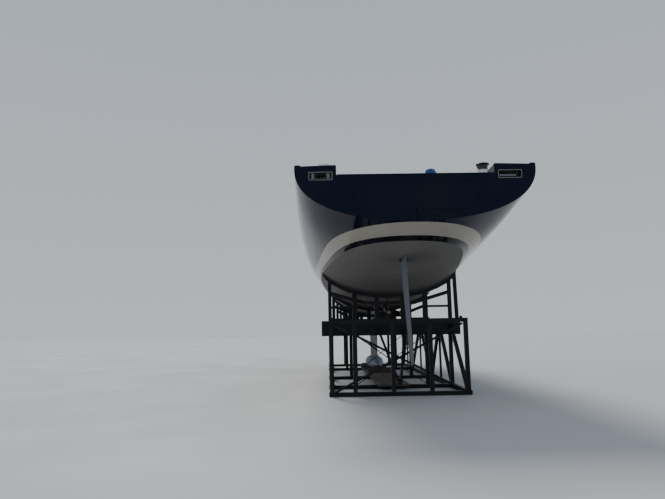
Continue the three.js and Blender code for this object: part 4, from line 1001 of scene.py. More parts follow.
# Line feeder of a winch. Columns: radius, height, half width.
FEEDER = [(0.062, 0.168, 0.014), (0.090, 0.1665, 0.014), (0.118, 0.160, 0.013), (0.136, 0.149, 0.012),
          (0.1435, 0.132, 0.011), (0.1435, 0.112, 0.010), (0.136, 0.092, 0.010), (0.127, 0.070, 0.009),
          (0.122, 0.048, 0.007)]


def make_winch(node, x, y, seat, scale, arm_turn):
    shape = Shape(DECK @ Matrix.Translation((x, y, seat)) @ Matrix.Scale(scale, 4)).use(BLACK_ALLOY)
    rings = []
    for radius, height in WINCH_PROFILE:
        ribbed = DRUM_LOW < height < DRUM_HIGH and radius > 0.1
        rings.append([])
        for i, (a, b) in enumerate(circle(1.0, DRUM_RIBS * 5)):
            r = max(radius, 1e-5) - (RIB_DEEP if ribbed and i % 5 in (0, 1) else 0.0)
            rings[-1].append((r * a, r * b, height))
    shape.loft(rings)
    shape.use(STAINLESS)
    for inner, outer, foot, rim, top in WINCH_RINGS:
        shape.lathe([(inner, foot), (outer, foot), (outer, rim), (inner, top)], 64)
    for k in range(8):
        turn = math.tau * (k + 0.5) / 8
        a, b = 0.022 * math.cos(turn), 0.022 * math.sin(turn)
        shape.rod((a, b, 0.1450), (a, b, 0.1690), 0.0030, 8)
    turn = math.radians(arm_turn)
    out, across = Vector((math.cos(turn), math.sin(turn), 0)), Vector((-math.sin(turn), math.cos(turn), 0))
    rings = []
    for i, (r, h, half) in enumerate(FEEDER):
        before, after = FEEDER[max(i - 1, 0)], FEEDER[min(i + 1, len(FEEDER) - 1)]
        run = Vector((after[0] - before[0], after[1] - before[1])).normalized() * 0.0035
        rings.append([out * (r - sign * run.y) + across * wide + Vector((0, 0, h + sign * run.x))
                      for sign, wide in ((1, -half), (1, half), (-1, half), (-1, -half))])
    shape.use(BLACK_ALLOY).loft(rings)
    shape.finish(node + "_detailed", "yacht", "black_winch", angle=36, replaces=(node,))


POD = {"port": -1.800, "stbd": 1.630, "y": 1.010, "half": 0.190, "long": 0.220, "top": 0.118, "high": 0.322}


def make_pod(name):
    """A moulded plinth that flows from a rounded square on the deck to the round winch base."""
    shape = Shape(DECK @ Matrix.Translation((POD[name], POD["y"], 0))).use(WHITE)
    rings = []
    for t in spread(0.0, 1.0, 30):
        ease = 1 - (1 - t) ** 1.7
        power = 2 / (4.5 - 2.5 * ease)
        edge = 0.006 * max(0.0, (t - 0.965) / 0.035) ** 2 - (0.004 if t == 0 else 0.0)
        half, long = [POD[low] + (POD["top"] - POD[low]) * ease - edge for low in ("half", "long")]
        z = TEAK + (POD["high"] - 0.0003) * t
        rings.append([(half * math.copysign(abs(c) ** power, c), long * math.copysign(abs(s) ** power, s), z)
                      for c, s in circle(1.0, 96)])
    shape.loft(rings)
    node = f"winch_pod_{name}"
    shape.finish(node + "_moulded", "yacht", "white_moulding", angle=40, replaces=(node,))


def sheet_shell(name, rings, material, slot, replaces, place, thick=0.0016):
    """A round sheet from its middle out, with a thickness, turned into a closed shell. Gives its area too."""
    count = len(rings[1])
    points = [Vector(rings[0][0])] + [Vector(point) for ring in rings[1:] for point in ring]
    faces = [(0, 1 + i, 1 + (i + 1) % count) for i in range(count)]
    for r in range(len(rings) - 2):
        for i in range(count):
            a, b = 1 + r * count + i, 1 + r * count + (i + 1) % count
            faces.append((a, a + count, b + count, b))
    flat = bmesh.new()
    made = [flat.verts.new(point) for point in points]
    for face in faces:
        flat.faces.new([made[i] for i in face])
    flat.normal_update()
    area = sum(face.calc_area() for face in flat.faces)
    half = [vertex.normal * thick / 2 for vertex in flat.verts]
    flat.free()
    upper = [point + out for point, out in zip(points, half)]
    lower = [point - out for point, out in zip(points, half)]
    shift = len(points)
    last = shift - count
    hem = [(last + (i + 1) % count, last + i) for i in range(count)]
    faces += [tuple(i + shift for i in reversed(face)) for face in faces]
    faces += [(a, b, b + shift, a + shift) for a, b in hem]
    shape = Shape(place).use(material)
    shape.add(upper + lower, faces)
    return shape.finish(name, "yacht", slot, angle=80, replaces=replaces), area


def smooth_noise(seed, waves):
    """A repeatable wavy function of an angle and a distance."""
    chance = random.Random(seed)
    terms = [(number, chance.uniform(0, 2 * math.pi), chance.uniform(-9, 9), size) for number, size in waves]
    return lambda turn, way: sum(size * math.sin(number * turn + phase + drift * way)
                                 for number, phase, drift, size in terms)


# Section of the winch cover, from its crown to its hem. Columns: radius, height.
COVER_PROFILE = [
    (0.0, 0.1870), (0.030, 0.1868), (0.060, 0.1850), (0.090, 0.1815), (0.115, 0.1755), (0.135, 0.1680),
    (0.147, 0.1575), (0.1525, 0.145), (0.1545, 0.125), (0.1550, 0.100), (0.1550, 0.075), (0.1550, 0.055),
    (0.1540, 0.040), (0.1510, 0.031),
]


def make_winch_cover(around=160):
    """A loose white cap tied over the port winch: taut on the crown, folded round its hem."""
    folds = smooth_noise(5, [(3, 0.35), (7, 0.55), (11, 0.45), (17, 0.25), (23, 0.15)])
    dents = smooth_noise(8, [(2, 0.5), (5, 0.4), (9, 0.2)])
    rings = []
    for radius, height in COVER_PROFILE:
        loose = 0.0055 * max(0.0, (0.165 - height) / 0.135) ** 0.7
        rings.append([])
        for turn in spread(0.0, math.tau, around + 1)[:-1]:
            r = radius + loose * folds(turn, (0.187 - height) * 6) if radius else 0.0
            h = height - 0.0022 * max(0.0, dents(turn, radius * 8)) * min(radius / 0.06, 1.0)
            rings[-1].append((r * math.cos(turn), r * math.sin(turn), h))
    place = DECK @ Matrix.Translation((POD["port"], POD["y"], TEAK + POD["high"]))
    piece, area = sheet_shell("winch_cover_cloth", rings, WHITE_CLOTH, "white_cloth",
                              ("winch_cover_port",), place)


HEAP = {"x": 0.390, "y": 0.400, "radius": 0.100, "high": 0.192, "top": 0.204, "fold": 0.026, "lean": 0.012}


def make_blue_cloth(around=180, steps=44):
    """A blue cloth left in a heap on the deck, its folds falling from a bunched top."""
    folds = smooth_noise(21, [(2, 0.45), (3, 0.60), (5, 0.50), (9, 0.22)])
    crumple = smooth_noise(34, [(2, 0.6), (4, 0.7), (7, 0.5), (12, 0.25)])
    rings = [[(-HEAP["lean"], 0.0, HEAP["high"])] * around]
    for t in spread(0.0, 1.0, steps + 1)[1:]:
        radius = HEAP["radius"] * t**0.50 + 0.008 * t**4
        height = 0.186 * (1 - t**2.6) ** 0.9 + 0.006
        fold = HEAP["fold"] * 0.62 * min(1.0, t * 1.6) ** 1.2
        lean = HEAP["lean"] * (1 - t) ** 1.4
        rings.append([])
        for turn in spread(0.0, math.tau, around + 1)[:-1]:
            r = radius + fold * folds(turn, t * 0.22) + 0.0045 * crumple(turn, t * 1.6) * min(1.0, t * 3)
            corner = math.exp(-(((turn - math.pi) / 0.30) ** 2) - ((t - 0.50) / 0.22) ** 2)
            r = max(r, 0.0025 + 0.010 * t) + 0.042 * corner
            h = height + 0.013 * crumple(turn + 1.0, t * 1.9) * min(1.0, t * 4) * (1 - t**3)
            h = min(h + 0.024 * math.cos(turn) * t * (1 - t**2) - 0.012 * corner, HEAP["top"])
            rings[-1].append((r * math.cos(turn) - lean, 0.78 * r * math.sin(turn), max(h, 0.0015)))
    place = DECK @ Matrix.Translation((HEAP["x"], HEAP["y"], TEAK))
    piece, area = sheet_shell("blue_cloth_heap", rings, BLUE_CLOTH, "blue_cloth", ("deck_cloth",), place)


make_transom_door()
for side, name in SIDES:
    make_fairlead(side, name)
    make_pod(name)
POD_SEAT, PRIMARY = TEAK + POD["high"], {"x": 1.385, "y": 6.100, "seat": 0.230}
make_winch("winch_quarter_port", POD["port"], POD["y"], POD_SEAT, 1.0, 20)
make_winch("winch_quarter_stbd", POD["stbd"], POD["y"], POD_SEAT, 1.0, 188)
make_winch("winch_primary_port", -PRIMARY["x"], PRIMARY["y"], PRIMARY["seat"], 1.1, -20)
make_winch("winch_primary_stbd", PRIMARY["x"], PRIMARY["y"], PRIMARY["seat"], 1.1, 200)
make_winch_cover()
make_blue_cloth()


# Deck, cockpit and coachroof, in the deck's frame

WALL, PLANK_MARGIN = 0.096, 0.012
BOARD = {"wide": 0.105, "low": TEAK - 0.002, "top": TEAK + 0.0012}
# King plank between the foredeck's lids. Columns: from y, to y.
KING_PLANK = [(14.14, 14.86), (15.62, 16.86), (17.84, 19.46)]


def slab(shape, low, high, bottom, top, radius):
    """A level plate with rounded corners between two corners of a rectangle."""
    (x0, y0), (x1, y1) = low, high
    outline = rounded_box((x0 + x1) / 2, (y0 + y1) / 2, (x1 - x0) / 2, (y1 - y0) / 2, radius, 5)
    shape.loft([[(x, y, z) for x, y in outline] for z in (bottom, top)])


def deck_edge(y):
    """Half width of the planking at a distance from the stern."""
    place, height = y + STERN, DECK_Z + DECK_RISE * y
    angle = halved(lambda angle: hull_surface(place, angle, 1).z < height)
    return hull_surface(place, angle, 1).x - WALL - PLANK_MARGIN


def make_margins():
    """Covering boards along the bulwarks and a king plank, a hair proud of the caulked deck."""
    shape = Shape(DECK).use(PLAIN_TEAK)
    low, top = BOARD["low"], BOARD["top"]
    for side, _ in SIDES:
        rings = []
        for y in spread(0.48, 20.9, 90):
            outer = deck_edge(y) - 0.006
            inner = max(outer - BOARD["wide"], 0.012)
            section = ((inner, low), (outer, low), (outer, top), (inner, top))
            rings.append([(side * x, y, z) for x, z in section])
        shape.loft(rings)
    for near, far in KING_PLANK:
        slab(shape, (-0.058, near), (0.058, far), low, top, 0.012)
    shape.use(NAVY_GLOSS).box((-1.552, -0.004, -0.02), (1.552, 0.0075, TEAK + 0.0015))
    shape.finish("deck_margins", "yacht", "teak", bevel=0.001, angle=40)


# Seats and soles of the cockpit. Columns: from x, from y, to x, to y, height.
TEAK_FLATS = [
    (0.815, 5.46, 1.245, 8.245, -0.090),
    (0.445, 5.025, 1.245, 5.445, -0.090),
    (-1.245, 5.46, -0.815, 8.245, -0.090),
    (-1.245, 5.025, -0.445, 5.445, -0.090),
    (-0.785, 5.465, 0.785, 8.245, -0.480),
    (-1.645, 2.355, 1.645, 4.735, -0.300),
    (-0.415, 4.765, 0.415, 5.435, -0.300),
]
COAMING = {"x": 1.385, "top": 0.230, "eyes": (5.3, 8.05), "clutches_y": 6.55, "clutches": 4}
# Handhold on the side of a bench. Columns: off the centreline, y.
HANDHOLD = [(1.31, 5.25), (1.262, 5.25), (1.250, 5.27), (1.250, 5.75), (1.262, 5.77), (1.31, 5.77)]
TRAVELLER_Y, TRAVELLER_HALF = 2.102, 1.40


def clutch(shape, x, y, low, top, half, long, lever):
    """A rope clutch. The lever's numbers: its width, then each end's distance from y and height over top."""
    wide, start, start_up, end, end_up = lever
    shape.box((x - half, y, low), (x + half, y + long, top))
    shape.bar((x, y + start, top + start_up), (x, y + end, top + end_up), wide, 0.020)


def make_cockpit_trim():
    seats = Shape(DECK).use(SEAT_TEAK)
    for x0, y0, x1, y1, z in TEAK_FLATS:
        slab(seats, (x0, y0), (x1, y1), z + 0.0003, z + 0.009, 0.035)
    seats.finish("cockpit_teak", "yacht", "teak", bevel=0.0015, angle=50)
    trim = Shape(DECK).use(STAINLESS)
    for side, _ in SIDES:
        x, z = side * COAMING["x"], COAMING["top"]
        for y in COAMING["eyes"]:
            trim.disc((x, y, z), 0.028, 0.005, 24, 0.008, 0.002)
            trim.eye((x, y, z + 0.004), (0.0, 0.019, 0.0), 0.024, 0.0042)
        trim.tube([(side * across, y, 0.12) for across, y in HANDHOLD], 0.0095, 12)
        trim.block((side * TRAVELLER_HALF, TRAVELLER_Y, TEAK), 0.024, 0.030, 0.045)
    trim.eye((0.0, TRAVELLER_Y, TEAK + 0.060), (0.028, 0.0, 0.0), 0.036, 0.006, 15)
    trim.use(BLACK_ALLOY)
    for side, _ in SIDES:
        for k in range(COAMING["clutches"]):
            x = side * COAMING["x"] - 0.0515 + 0.034 * k
            clutch(trim, x, COAMING["clutches_y"], COAMING["top"] + 0.0003, 0.262, 0.0145, 0.150,
                   (0.008, 0.030, 0.004, 0.138, 0.016))
    trim.block((0.0, TRAVELLER_Y, TEAK), TRAVELLER_HALF, 0.022, 0.022)
    trim.block((0.0, TRAVELLER_Y, TEAK + 0.020), 0.085, 0.040, 0.038)
    trim.finish("cockpit_fittings", "yacht", "stainless", bevel=0.002, angle=40)


# Coachroof. Columns: distance from the stern, half width at the deck, half width at the roof edge, height.
HOUSE_TABLE = [
    (8.36, 1.50, 1.18, 0.56),
    (9.80, 1.48, 1.15, 0.54),
    (11.2, 1.36, 1.00, 0.45),
    (12.3, 1.12, 0.72, 0.30),
    (13.0, 0.82, 0.40, 0.09),
]
GRAB_INSET, GRAB_HIGH = 0.70, 0.056
# The grab rail's bend at each end. Columns: distance from the end, height.
GRAB_BEND = [(0.0, 0.0), (0.01, 0.035), (0.05, 0.052)]
GRAB_FROM, GRAB_TO, GRAB_FEET = 9.05, 12.15, (9.05, 9.80, 10.58, 11.36, 12.15)


def roof(y, side, up=0.0):
    """A point over the line of a grab rail."""
    _, _, edge, high = along(HOUSE_TABLE, y)
    return Vector((side * edge * GRAB_INSET, y, high + up))


def make_house_trim():
    """Grab rails, rope clutches and the lead blocks ahead of them."""
    rails = Shape(DECK).use(STAINLESS)
    for side, _ in SIDES:
        run = [roof(GRAB_FROM + ahead, side, up) for ahead, up in GRAB_BEND]
        run += [roof(y, side, GRAB_HIGH) for y in spread(9.20, 12.0, 30)]
        run += [roof(GRAB_TO - back, side, up) for back, up in reversed(GRAB_BEND)]
        rails.tube(run, 0.0125, 12)
        for y in GRAB_FEET:
            rails.lathe([(0.0, -0.004), (0.034, -0.004), (0.034, 0.004), (0.015, 0.010), (0.0125, 0.055),
                         (0.0, 0.056)], 20, roof(y, side))
    for side, _ in SIDES:
        rails.use(BLACK_ALLOY)
        for k in range(5):
            x = side * (0.500 + 0.040 * k)
            z = 0.5765 - 0.05 * (abs(x) - 0.41)
            clutch(rails, x, 8.52, z - 0.008, z + 0.034, 0.016, 0.160, (0.010, 0.025, 0.003, 0.145, 0.014))
        rails.block((side * 0.575, 9.02, 0.584), 0.11, 0.03, 0.008)
        rails.use(STAINLESS)
        for k in range(4):
            x = side * (0.50 + 0.05 * k)
            rails.rod((x, 9.02, 0.548), (x, 9.02, 0.590), 0.019, 20)
    rails.finish("coachroof_fittings", "yacht", "stainless", bevel=0.0015, angle=40)


# Lids. Columns: name, centre x, centre y, size x, size y, direction from the middle to its hinges.
LIDS = [
    ("lazarette_lid_port", -0.76, 1.35, 0.62, 0.76, (-1, 0)),
    ("lazarette_lid_stbd", 0.76, 1.35, 0.62, 0.76, (1, 0)),
    ("foredeck_hatch_aft", 0.0, 15.25, 0.62, 0.62, (0, 1)),
    ("foredeck_hatch_fwd", 0.0, 17.35, 0.86, 0.86, (0, 1)),
    ("anchor_locker_lid", 0.0, 19.90, 0.64, 0.76, (0, 1)),
]
LID_THICK, LID_CORNER, LID_SEAT = 0.036, 0.055, 0.0004
# Sections of lids. Columns: inset from the edge, height.
HATCH_FRAME = [(0.052, LID_SEAT), (0.0, LID_SEAT), (0.0, 0.032), (0.004, 0.036), (0.046, 0.036),
               (0.050, 0.033), (0.052, LID_SEAT)]
HATCH_GLASS = [(0.048, 0.020), (0.048, 0.032), (0.052, 0.0335)]
LID_BODY = [(0.0, LID_SEAT), (0.0, 0.026), (0.004, 0.030)]
LID_PLANKS = [(0.014, 0.028), (0.014, 0.035), (0.015, 0.036)]


def make_lid(node, x, y, wide, long, hinged):
    """A glazed hatch or a teak lid, with its handles and its two hinges."""
    out, across = Vector((*hinged, 0.0)), Vector((hinged[1], -hinged[0], 0.0))
    middle = Vector((x, y, LID_THICK))
    reach, span = (long / 2, wide) if hinged[1] else (wide / 2, long)
    shape = Shape(DECK)
    ring = lambda inset, z: [(px, py, z) for px, py in rounded_box(
        x, y, wide / 2 - inset, long / 2 - inset, max(LID_CORNER - inset, 0.008))]
    stack = lambda section, capped=True: shape.loft([ring(inset, z) for inset, z in section], capped)
    if "hatch" in node:
        slot = "smoked_glass"
        shape.use(ALLOY)
        stack(HATCH_FRAME, False)
        shape.use(GLASS)
        stack(HATCH_GLASS)
        shape.use(BLACK_ALLOY)
        for shift in (-0.28 * span, 0.28 * span):
            at = middle - out * (reach - 0.10) + across * shift - Vector((0, 0, 0.004))
            shape.disc(at, 0.022, 0.007, 24, 0.006, 0.003)
    else:
        slot = "teak"
        shape.use(WHITE)
        stack(LID_BODY)
        shape.use(SEAT_TEAK)
        stack(LID_PLANKS)
        at = middle - out * (reach - 0.09) - Vector((0, 0, 0.0005))
        shape.use(STAINLESS).lathe([(0.0, 0.0), (0.036, 0.0), (0.036, 0.002), (0.030, 0.003), (0.028, 0.0012),
                                    (0.0, 0.0012)], 32, at)
        shape.tube([at + Vector((a, b, 0.0032)) for a, b in circle(0.020, 24)], 0.0028, 8, closed=True)
    shape.use(STAINLESS)
    for shift in (-0.30 * span, 0.30 * span):
        pin = middle + out * (reach - 0.008) + across * shift + Vector((0, 0, 0.001))
        shape.rod(pin - across * 0.030, pin + across * 0.030, 0.0058, 14)
        leaf, half = pin - out * 0.027, Vector([abs(a) for a in across * 0.026 + out * 0.027])
        slab(shape, (leaf - half)[:2], (leaf + half)[:2], LID_THICK - 0.001, LID_THICK + 0.0025, 0.006)
    shape.finish(node + "_built", body_of(node), slot, angle=40, replaces=(node,))


WHEEL = {"x": 1.05, "y": 3.85, "z": 0.3223, "radius": 0.480, "rim": 0.017, "spokes": 5}
# Section of a wheel's hub, aft face first. Columns: radius, distance along the axle.
HUB_PROFILE = [(0.0, -0.030), (0.020, -0.030), (0.030, -0.027), (0.034, -0.018), (0.056, -0.013),
               (0.060, -0.008), (0.060, 0.022), (0.055, 0.029), (0.0, 0.030)]


def wheel_place(side):
    return DECK @ Matrix.Translation((side * WHEEL["x"], WHEEL["y"], WHEEL["z"]))


def make_wheel(side, name):
    """A big wheel with a leather-bound rim that has a seam round its inside."""
    shape = Shape(wheel_place(side)).use(LEATHER)
    radius = WHEEL["radius"]
    for reach, thick, count in ((radius, WHEEL["rim"], 20), (radius - WHEEL["rim"] - 0.0004, 0.0022, 8)):
        shape.tube([(a, 0.0, b) for a, b in circle(reach, 96)], thick, count, closed=True)
    shape.use(STAINLESS)
    for k in range(WHEEL["spokes"]):
        turn = math.tau * k / WHEEL["spokes"]
        away = Vector((math.sin(turn), 0.0, math.cos(turn)))
        shape.rod(away * 0.040, away * (radius - 0.010), 0.0115, 16, 0.0090)
        shape.rod(away * (radius - 0.050), away * (radius - 0.012), 0.0125, 16, 0.0150)
    shape.lathe(HUB_PROFILE, 48, (0, 0, 0), (0, 1, 0))
    node = f"steering_wheel_{name}"
    shape.finish(node + "_bound", node, "stainless", angle=40, replaces=(node,))


# The pedestal's sloping face, from its foot to its head, seen from the wheel's middle
PANEL_LOW, PANEL_TOP = Vector((0, 0.108, 0.012)), Vector((0, 0.168, 0.140))
COMPASS_AT, COMPASS_DOME = (0.0, 0.240, 0.148), (0.050, 0.040)
HOOP = [(0.090, 0.305, -0.10), (0.090, 0.315, 0.06), (0.090, 0.318, 0.16), (0.072, 0.312, 0.185),
        (0.0, 0.310, 0.190)]


def make_instruments(side, name):
    """Two displays on the pedestal's slope, a compass on its head and a hoop ahead of it."""
    shape = Shape(wheel_place(side))
    slope = (PANEL_TOP - PANEL_LOW).normalized()
    normal = Vector((0, -slope.z, slope.y))
    # Columns: material, distance up the slope, distance off it, long, wide, thick.
    for material, up, off, long, wide, thick in ((BLACK_ALLOY, 0.018, 0.004, 0.084, 0.094, 0.010),
                                                 (GLASS, 0.024, 0.0095, 0.072, 0.082, 0.002)):
        for dx in (-0.054, 0.054):
            start = PANEL_LOW + slope * up + Vector((dx, 0, 0)) + normal * off
            shape.use(material).bar(start, start + slope * long, wide, thick, (0, -1, 0))
    wide, high = COMPASS_DOME
    dome = [(wide * math.cos(a), 0.012 + high * math.sin(a)) for a in spread(0.0, math.pi / 2, 10)][:-1]
    shape.use(BLACK_ALLOY).lathe([(0.0, 0.0), (0.062, 0.0), (0.062, 0.006), (0.056, 0.010), (0.052, 0.012),
                                  (0.0, 0.012)], 40, COMPASS_AT)
    shape.use(GLASS).lathe([(0.0, 0.010), (wide, 0.010), *dome, (0.0, 0.012 + high)], 40, COMPASS_AT)
    shape.use(STAINLESS)
    for end in (-1, 1):
        shape.tube([(end * x, y, z) for x, y, z in HOOP], 0.010, 12)
    shape.finish(f"pedestal_{name}_instruments", "yacht", "stainless", bevel=0.0015, angle=40)


CLEAT_LONG, CLEAT_INSET, CLEATS_Y = 0.30, 0.165, (1.95, 10.6, 19.3)
CLEAT_LEG = [(0.0, 0.0), (0.024, 0.0), (0.024, 0.004), (0.014, 0.014), (0.011, 0.058), (0.0, 0.058)]
SOCKET_INSET, SOCKETS_Y = 0.050, (0.75, 2.95, 4.9, 6.85, 8.8, 10.2, 12.1, 14.0, 15.9, 17.6, 19.0)
SOCKET = [(0.0, 0.0), (0.033, 0.0), (0.033, 0.005), (0.020, 0.009), (0.0185, 0.052), (0.0195, 0.055),
          (0.0195, 0.062), (0.0150, 0.062), (0.0150, 0.020), (0.0, 0.020)]
EYE_INSET, EYES_Y = 0.55, (13.35, 14.6)
TRACK_FROM, TRACK_TO, TRACK_UP, CAR_AT = (1.78, 8.9), (1.66, 12.1), TEAK + 0.006, 1.25
MAST_Y, MAST_BOLTS = 13.90, 12
FILLERS, FILLER_Y = (-0.42, 0.42, -1.15, 1.15), 1.86


def cleat(shape, side, y):
    """A horn cleat on two legs, in line with the edge of the deck."""
    turn = side * math.atan2(deck_edge(y + 0.3) - deck_edge(y - 0.3), 0.6)
    away = Vector((math.sin(turn), math.cos(turn), 0.0))
    middle = Vector((side * (deck_edge(y) - CLEAT_INSET), y, TEAK))
    path, radii = [], []
    for t in spread(-1.0, 1.0, 17):
        path.append(middle + away * (t * CLEAT_LONG / 2) + Vector((0, 0, 0.060 + 0.014 * t * t)))
        radii.append(0.007 + 0.0065 * math.cos(t * math.pi / 2) ** 0.7 if abs(t) < 1 else 0.006)
    shape.tube(path, radii, 12)
    for end in (-1, 1):
        shape.lathe(CLEAT_LEG, 24, middle + away * end * CLEAT_LONG * 0.17)


def make_track(shape, side):
    """A sheet track with its bolts, and a car with its block."""
    start, end = [Vector((side * x, y, TRACK_UP)) for x, y in (TRACK_FROM, TRACK_TO)]
    shape.use(BLACK_ALLOY).bar(start, end, 0.034, 0.012, (0, 0, 1))
    run = (end - start).normalized()
    car = start + run * CAR_AT
    shape.bar(car, car + run * 0.16, 0.052, 0.030, (0, 0, 1))
    block, half = car + run * 0.08 + Vector((0, 0, 0.052)), Vector((0.012, 0, 0))
    shape.use(STAINLESS).rod(block - half, block + half, 0.036, 28)
    for k in range(27):
        at = start + run * (0.06 + k * 0.12)
        if abs((at - car).length - 0.08) > 0.10:
            shape.bolt(at + Vector((0, 0, 0.006)), (0, 0, 1), 0.006)


def make_deck_fittings():
    """Cleats, stanchion sockets, eyes, sheet tracks, the mast collar's bolts and the deck fillers."""
    metal = Shape(DECK).use(STAINLESS)
    for side, _ in SIDES:
        for y in CLEATS_Y:
            cleat(metal, side, y)
        for y in SOCKETS_Y:
            metal.lathe(SOCKET, 24, (side * (deck_edge(y) - SOCKET_INSET), y, TEAK))
        for y in EYES_Y:
            x = side * (deck_edge(y) - EYE_INSET)
            metal.lathe([(0.0, 0.0), (0.036, 0.0), (0.036, 0.004), (0.0, 0.006)], 24, (x, y, TEAK))
            metal.eye((x, y, TEAK + 0.004), (0.0, 0.022, 0.0), 0.034, 0.005)
        make_track(metal, side)
    for a, b in circle(1.0, MAST_BOLTS):
        metal.bolt((0.12 * a, MAST_Y + 0.198 * b, 0.100), (0, 0, 1), 0.007)
    metal.use(BLACK_ALLOY)
    for x in FILLERS:
        metal.disc((x, FILLER_Y, TEAK), 0.055, 0.005, 32, 0.005, 0.002)
    metal.finish("deck_fittings", "yacht", "stainless", angle=40)
    bow = Shape().use(STAINLESS)
    bow.rod((-0.030, 10.50, 5.150), (0.030, 10.50, 5.150), 0.014, 20)
    for side, _ in SIDES:
        for y in (10.34, 10.60):
            bow.bolt((side * 0.055, y, 5.052), (0, 0, 1), 0.009)
    bow.finish("stem_fitting_pin", "yacht", "stainless", angle=40)


make_margins()
make_cockpit_trim()
make_house_trim()
for row in LIDS:
    make_lid(*row)
for side, name in SIDES:
    make_wheel(side, name)
    make_instruments(side, name)
make_deck_fittings()


# Propeller, strut and the cradle's own details

SHAFT = Matrix.Translation((0, -5.440, 2.120)) @ Matrix.Rotation(math.radians(7.0), 4, "X")
# Propeller blade. Columns: radius, chord, thickness, pitch in degrees.
PROPELLER_TABLE = [
    (0.050, 0.090, 0.034, 52.0),
    (0.100, 0.138, 0.027, 43.5),
    (0.150, 0.175, 0.021, 36.0),
    (0.240, 0.190, 0.0125, 27.0),
    (0.300, 0.125, 0.008, 22.0),
    (0.330, 0.036, 0.005, 21.0),
]
BLADES, BLADE_PHASE, BEHIND = 3, 98.0, 0.020
BLADE_ROOT, BLADE_TIP = PROPELLER_TABLE[0][0], PROPELLER_TABLE[-1][0]
# Sections along the shaft. Columns: radius, distance forward.
BOSS = [(0.0, -0.100), (0.052, -0.100), (0.0555, -0.096), (0.066, -0.060), (0.0735, -0.015), (0.075, 0.020),
        (0.075, 0.078), (0.072, 0.087), (0.064, 0.090), (0.0, 0.090)]
CONE = [(0.0, -0.150), (0.018, -0.149), (0.030, -0.144), (0.043, -0.120), (0.0505, -0.1005), (0.0, -0.1005)]
BEARING_RIM = [(0.0335, 0.0), (0.046, 0.0), (0.046, 0.008), (0.0335, 0.008)]
SHAFT_ANODE = [(0.0325, 0.0), (0.050, 0.0), (0.062, 0.012), (0.062, 0.058), (0.050, 0.070), (0.0325, 0.070)]


def blade_ring(radius, here):
    """The blade's section at a radius, an ellipse with sharpened edges set at its pitch."""
    _, chord, thick, pitch = along(PROPELLER_TABLE, radius)
    c, s = math.cos(math.radians(pitch)), math.sin(math.radians(pitch))
    rake = 0.05 * (radius / BLADE_TIP) ** 2 * chord
    ring = []
    for i, j in circle(1.0, 28):
        across, through = i * chord / 2 + rake, math.copysign(abs(j) ** 1.25, j) * thick / 2
        ring.append(here @ Vector((across * c - through * s, across * s + through * c, radius)))
    return ring


def make_propeller():
    shape = Shape(SHAFT @ Matrix.Translation((0, -BEHIND, 0))).use(BRONZE)
    shape.lathe(BOSS, 56, (0, 0, 0), (0, 1, 0))
    for k in range(BLADES):
        here = Matrix.Rotation(math.radians(360 / BLADES * k + BLADE_PHASE), 4, "Y")
        shape.loft([blade_ring(radius, here) for radius in spread(BLADE_ROOT, BLADE_TIP, 24)])
    shape.use(ANODE).lathe(CONE, 40, (0, 0, 0), (0, 1, 0))
    shape.use(STAINLESS)
    for k in range(3):
        turn = math.radians(120 * k + 20)
        out = Vector((math.cos(turn), 0.0, math.sin(turn)))
        shape.bolt(out * 0.0745 + Vector((0.0, 0.045, 0.0)), out, 0.006)
    shape.finish("propeller_cast", "propeller", "bronze", angle=40, replaces=("propeller",))


def make_shaft_trim():
    """Rubber rims at the strut's bearing and a clamped anode on the shaft ahead of it."""
    strut = Shape(SHAFT)
    for material, profile, y in ((RUBBER, BEARING_RIM, 0.300), (RUBBER, BEARING_RIM, 0.532),
                                 (ANODE, SHAFT_ANODE, 0.700)):
        strut.use(material).lathe(profile, 40, (0, y, 0), (0, y + 1, 0))
    strut.use(STAINLESS)
    for side, _ in SIDES:
        for y in (0.722, 0.748):
            strut.bolt((0.0, y, side * 0.061), (0, 0, side), 0.006)
    strut.finish("shaft_bearing_anode", "yacht", "bulb_paint", angle=40)


BED = {"from": -6.300, "to": 2.300, "half": 0.428, "low": 0.1003, "top": 0.158, "rows": 4}
PLANK = 2 * BED["half"] / BED["rows"]
CHOCKS_Y, CHOCK_HALF, CHOCK_LONG, CHOCK_TOP, SAW_GAP = (-1.9, -0.2, 1.3), 0.420, 0.130, 0.300, 0.002


def bulb_underside(x, y):
    """Height of the bulb's lower side, or 1 m where it doesn't reach."""
    t = min(max((y - BULB["y"]) / BULB["long"] + 0.5, 0.0), 1.0)
    grow = bulb_swell(t)
    across = (abs(x) / (BULB["half"] * grow)) ** (1 / BULB["blunt"])
    return BULB_MIDDLE - BULB_HALF_HIGH * grow * math.sqrt(1 - across**2) if across < 1 else 1.0


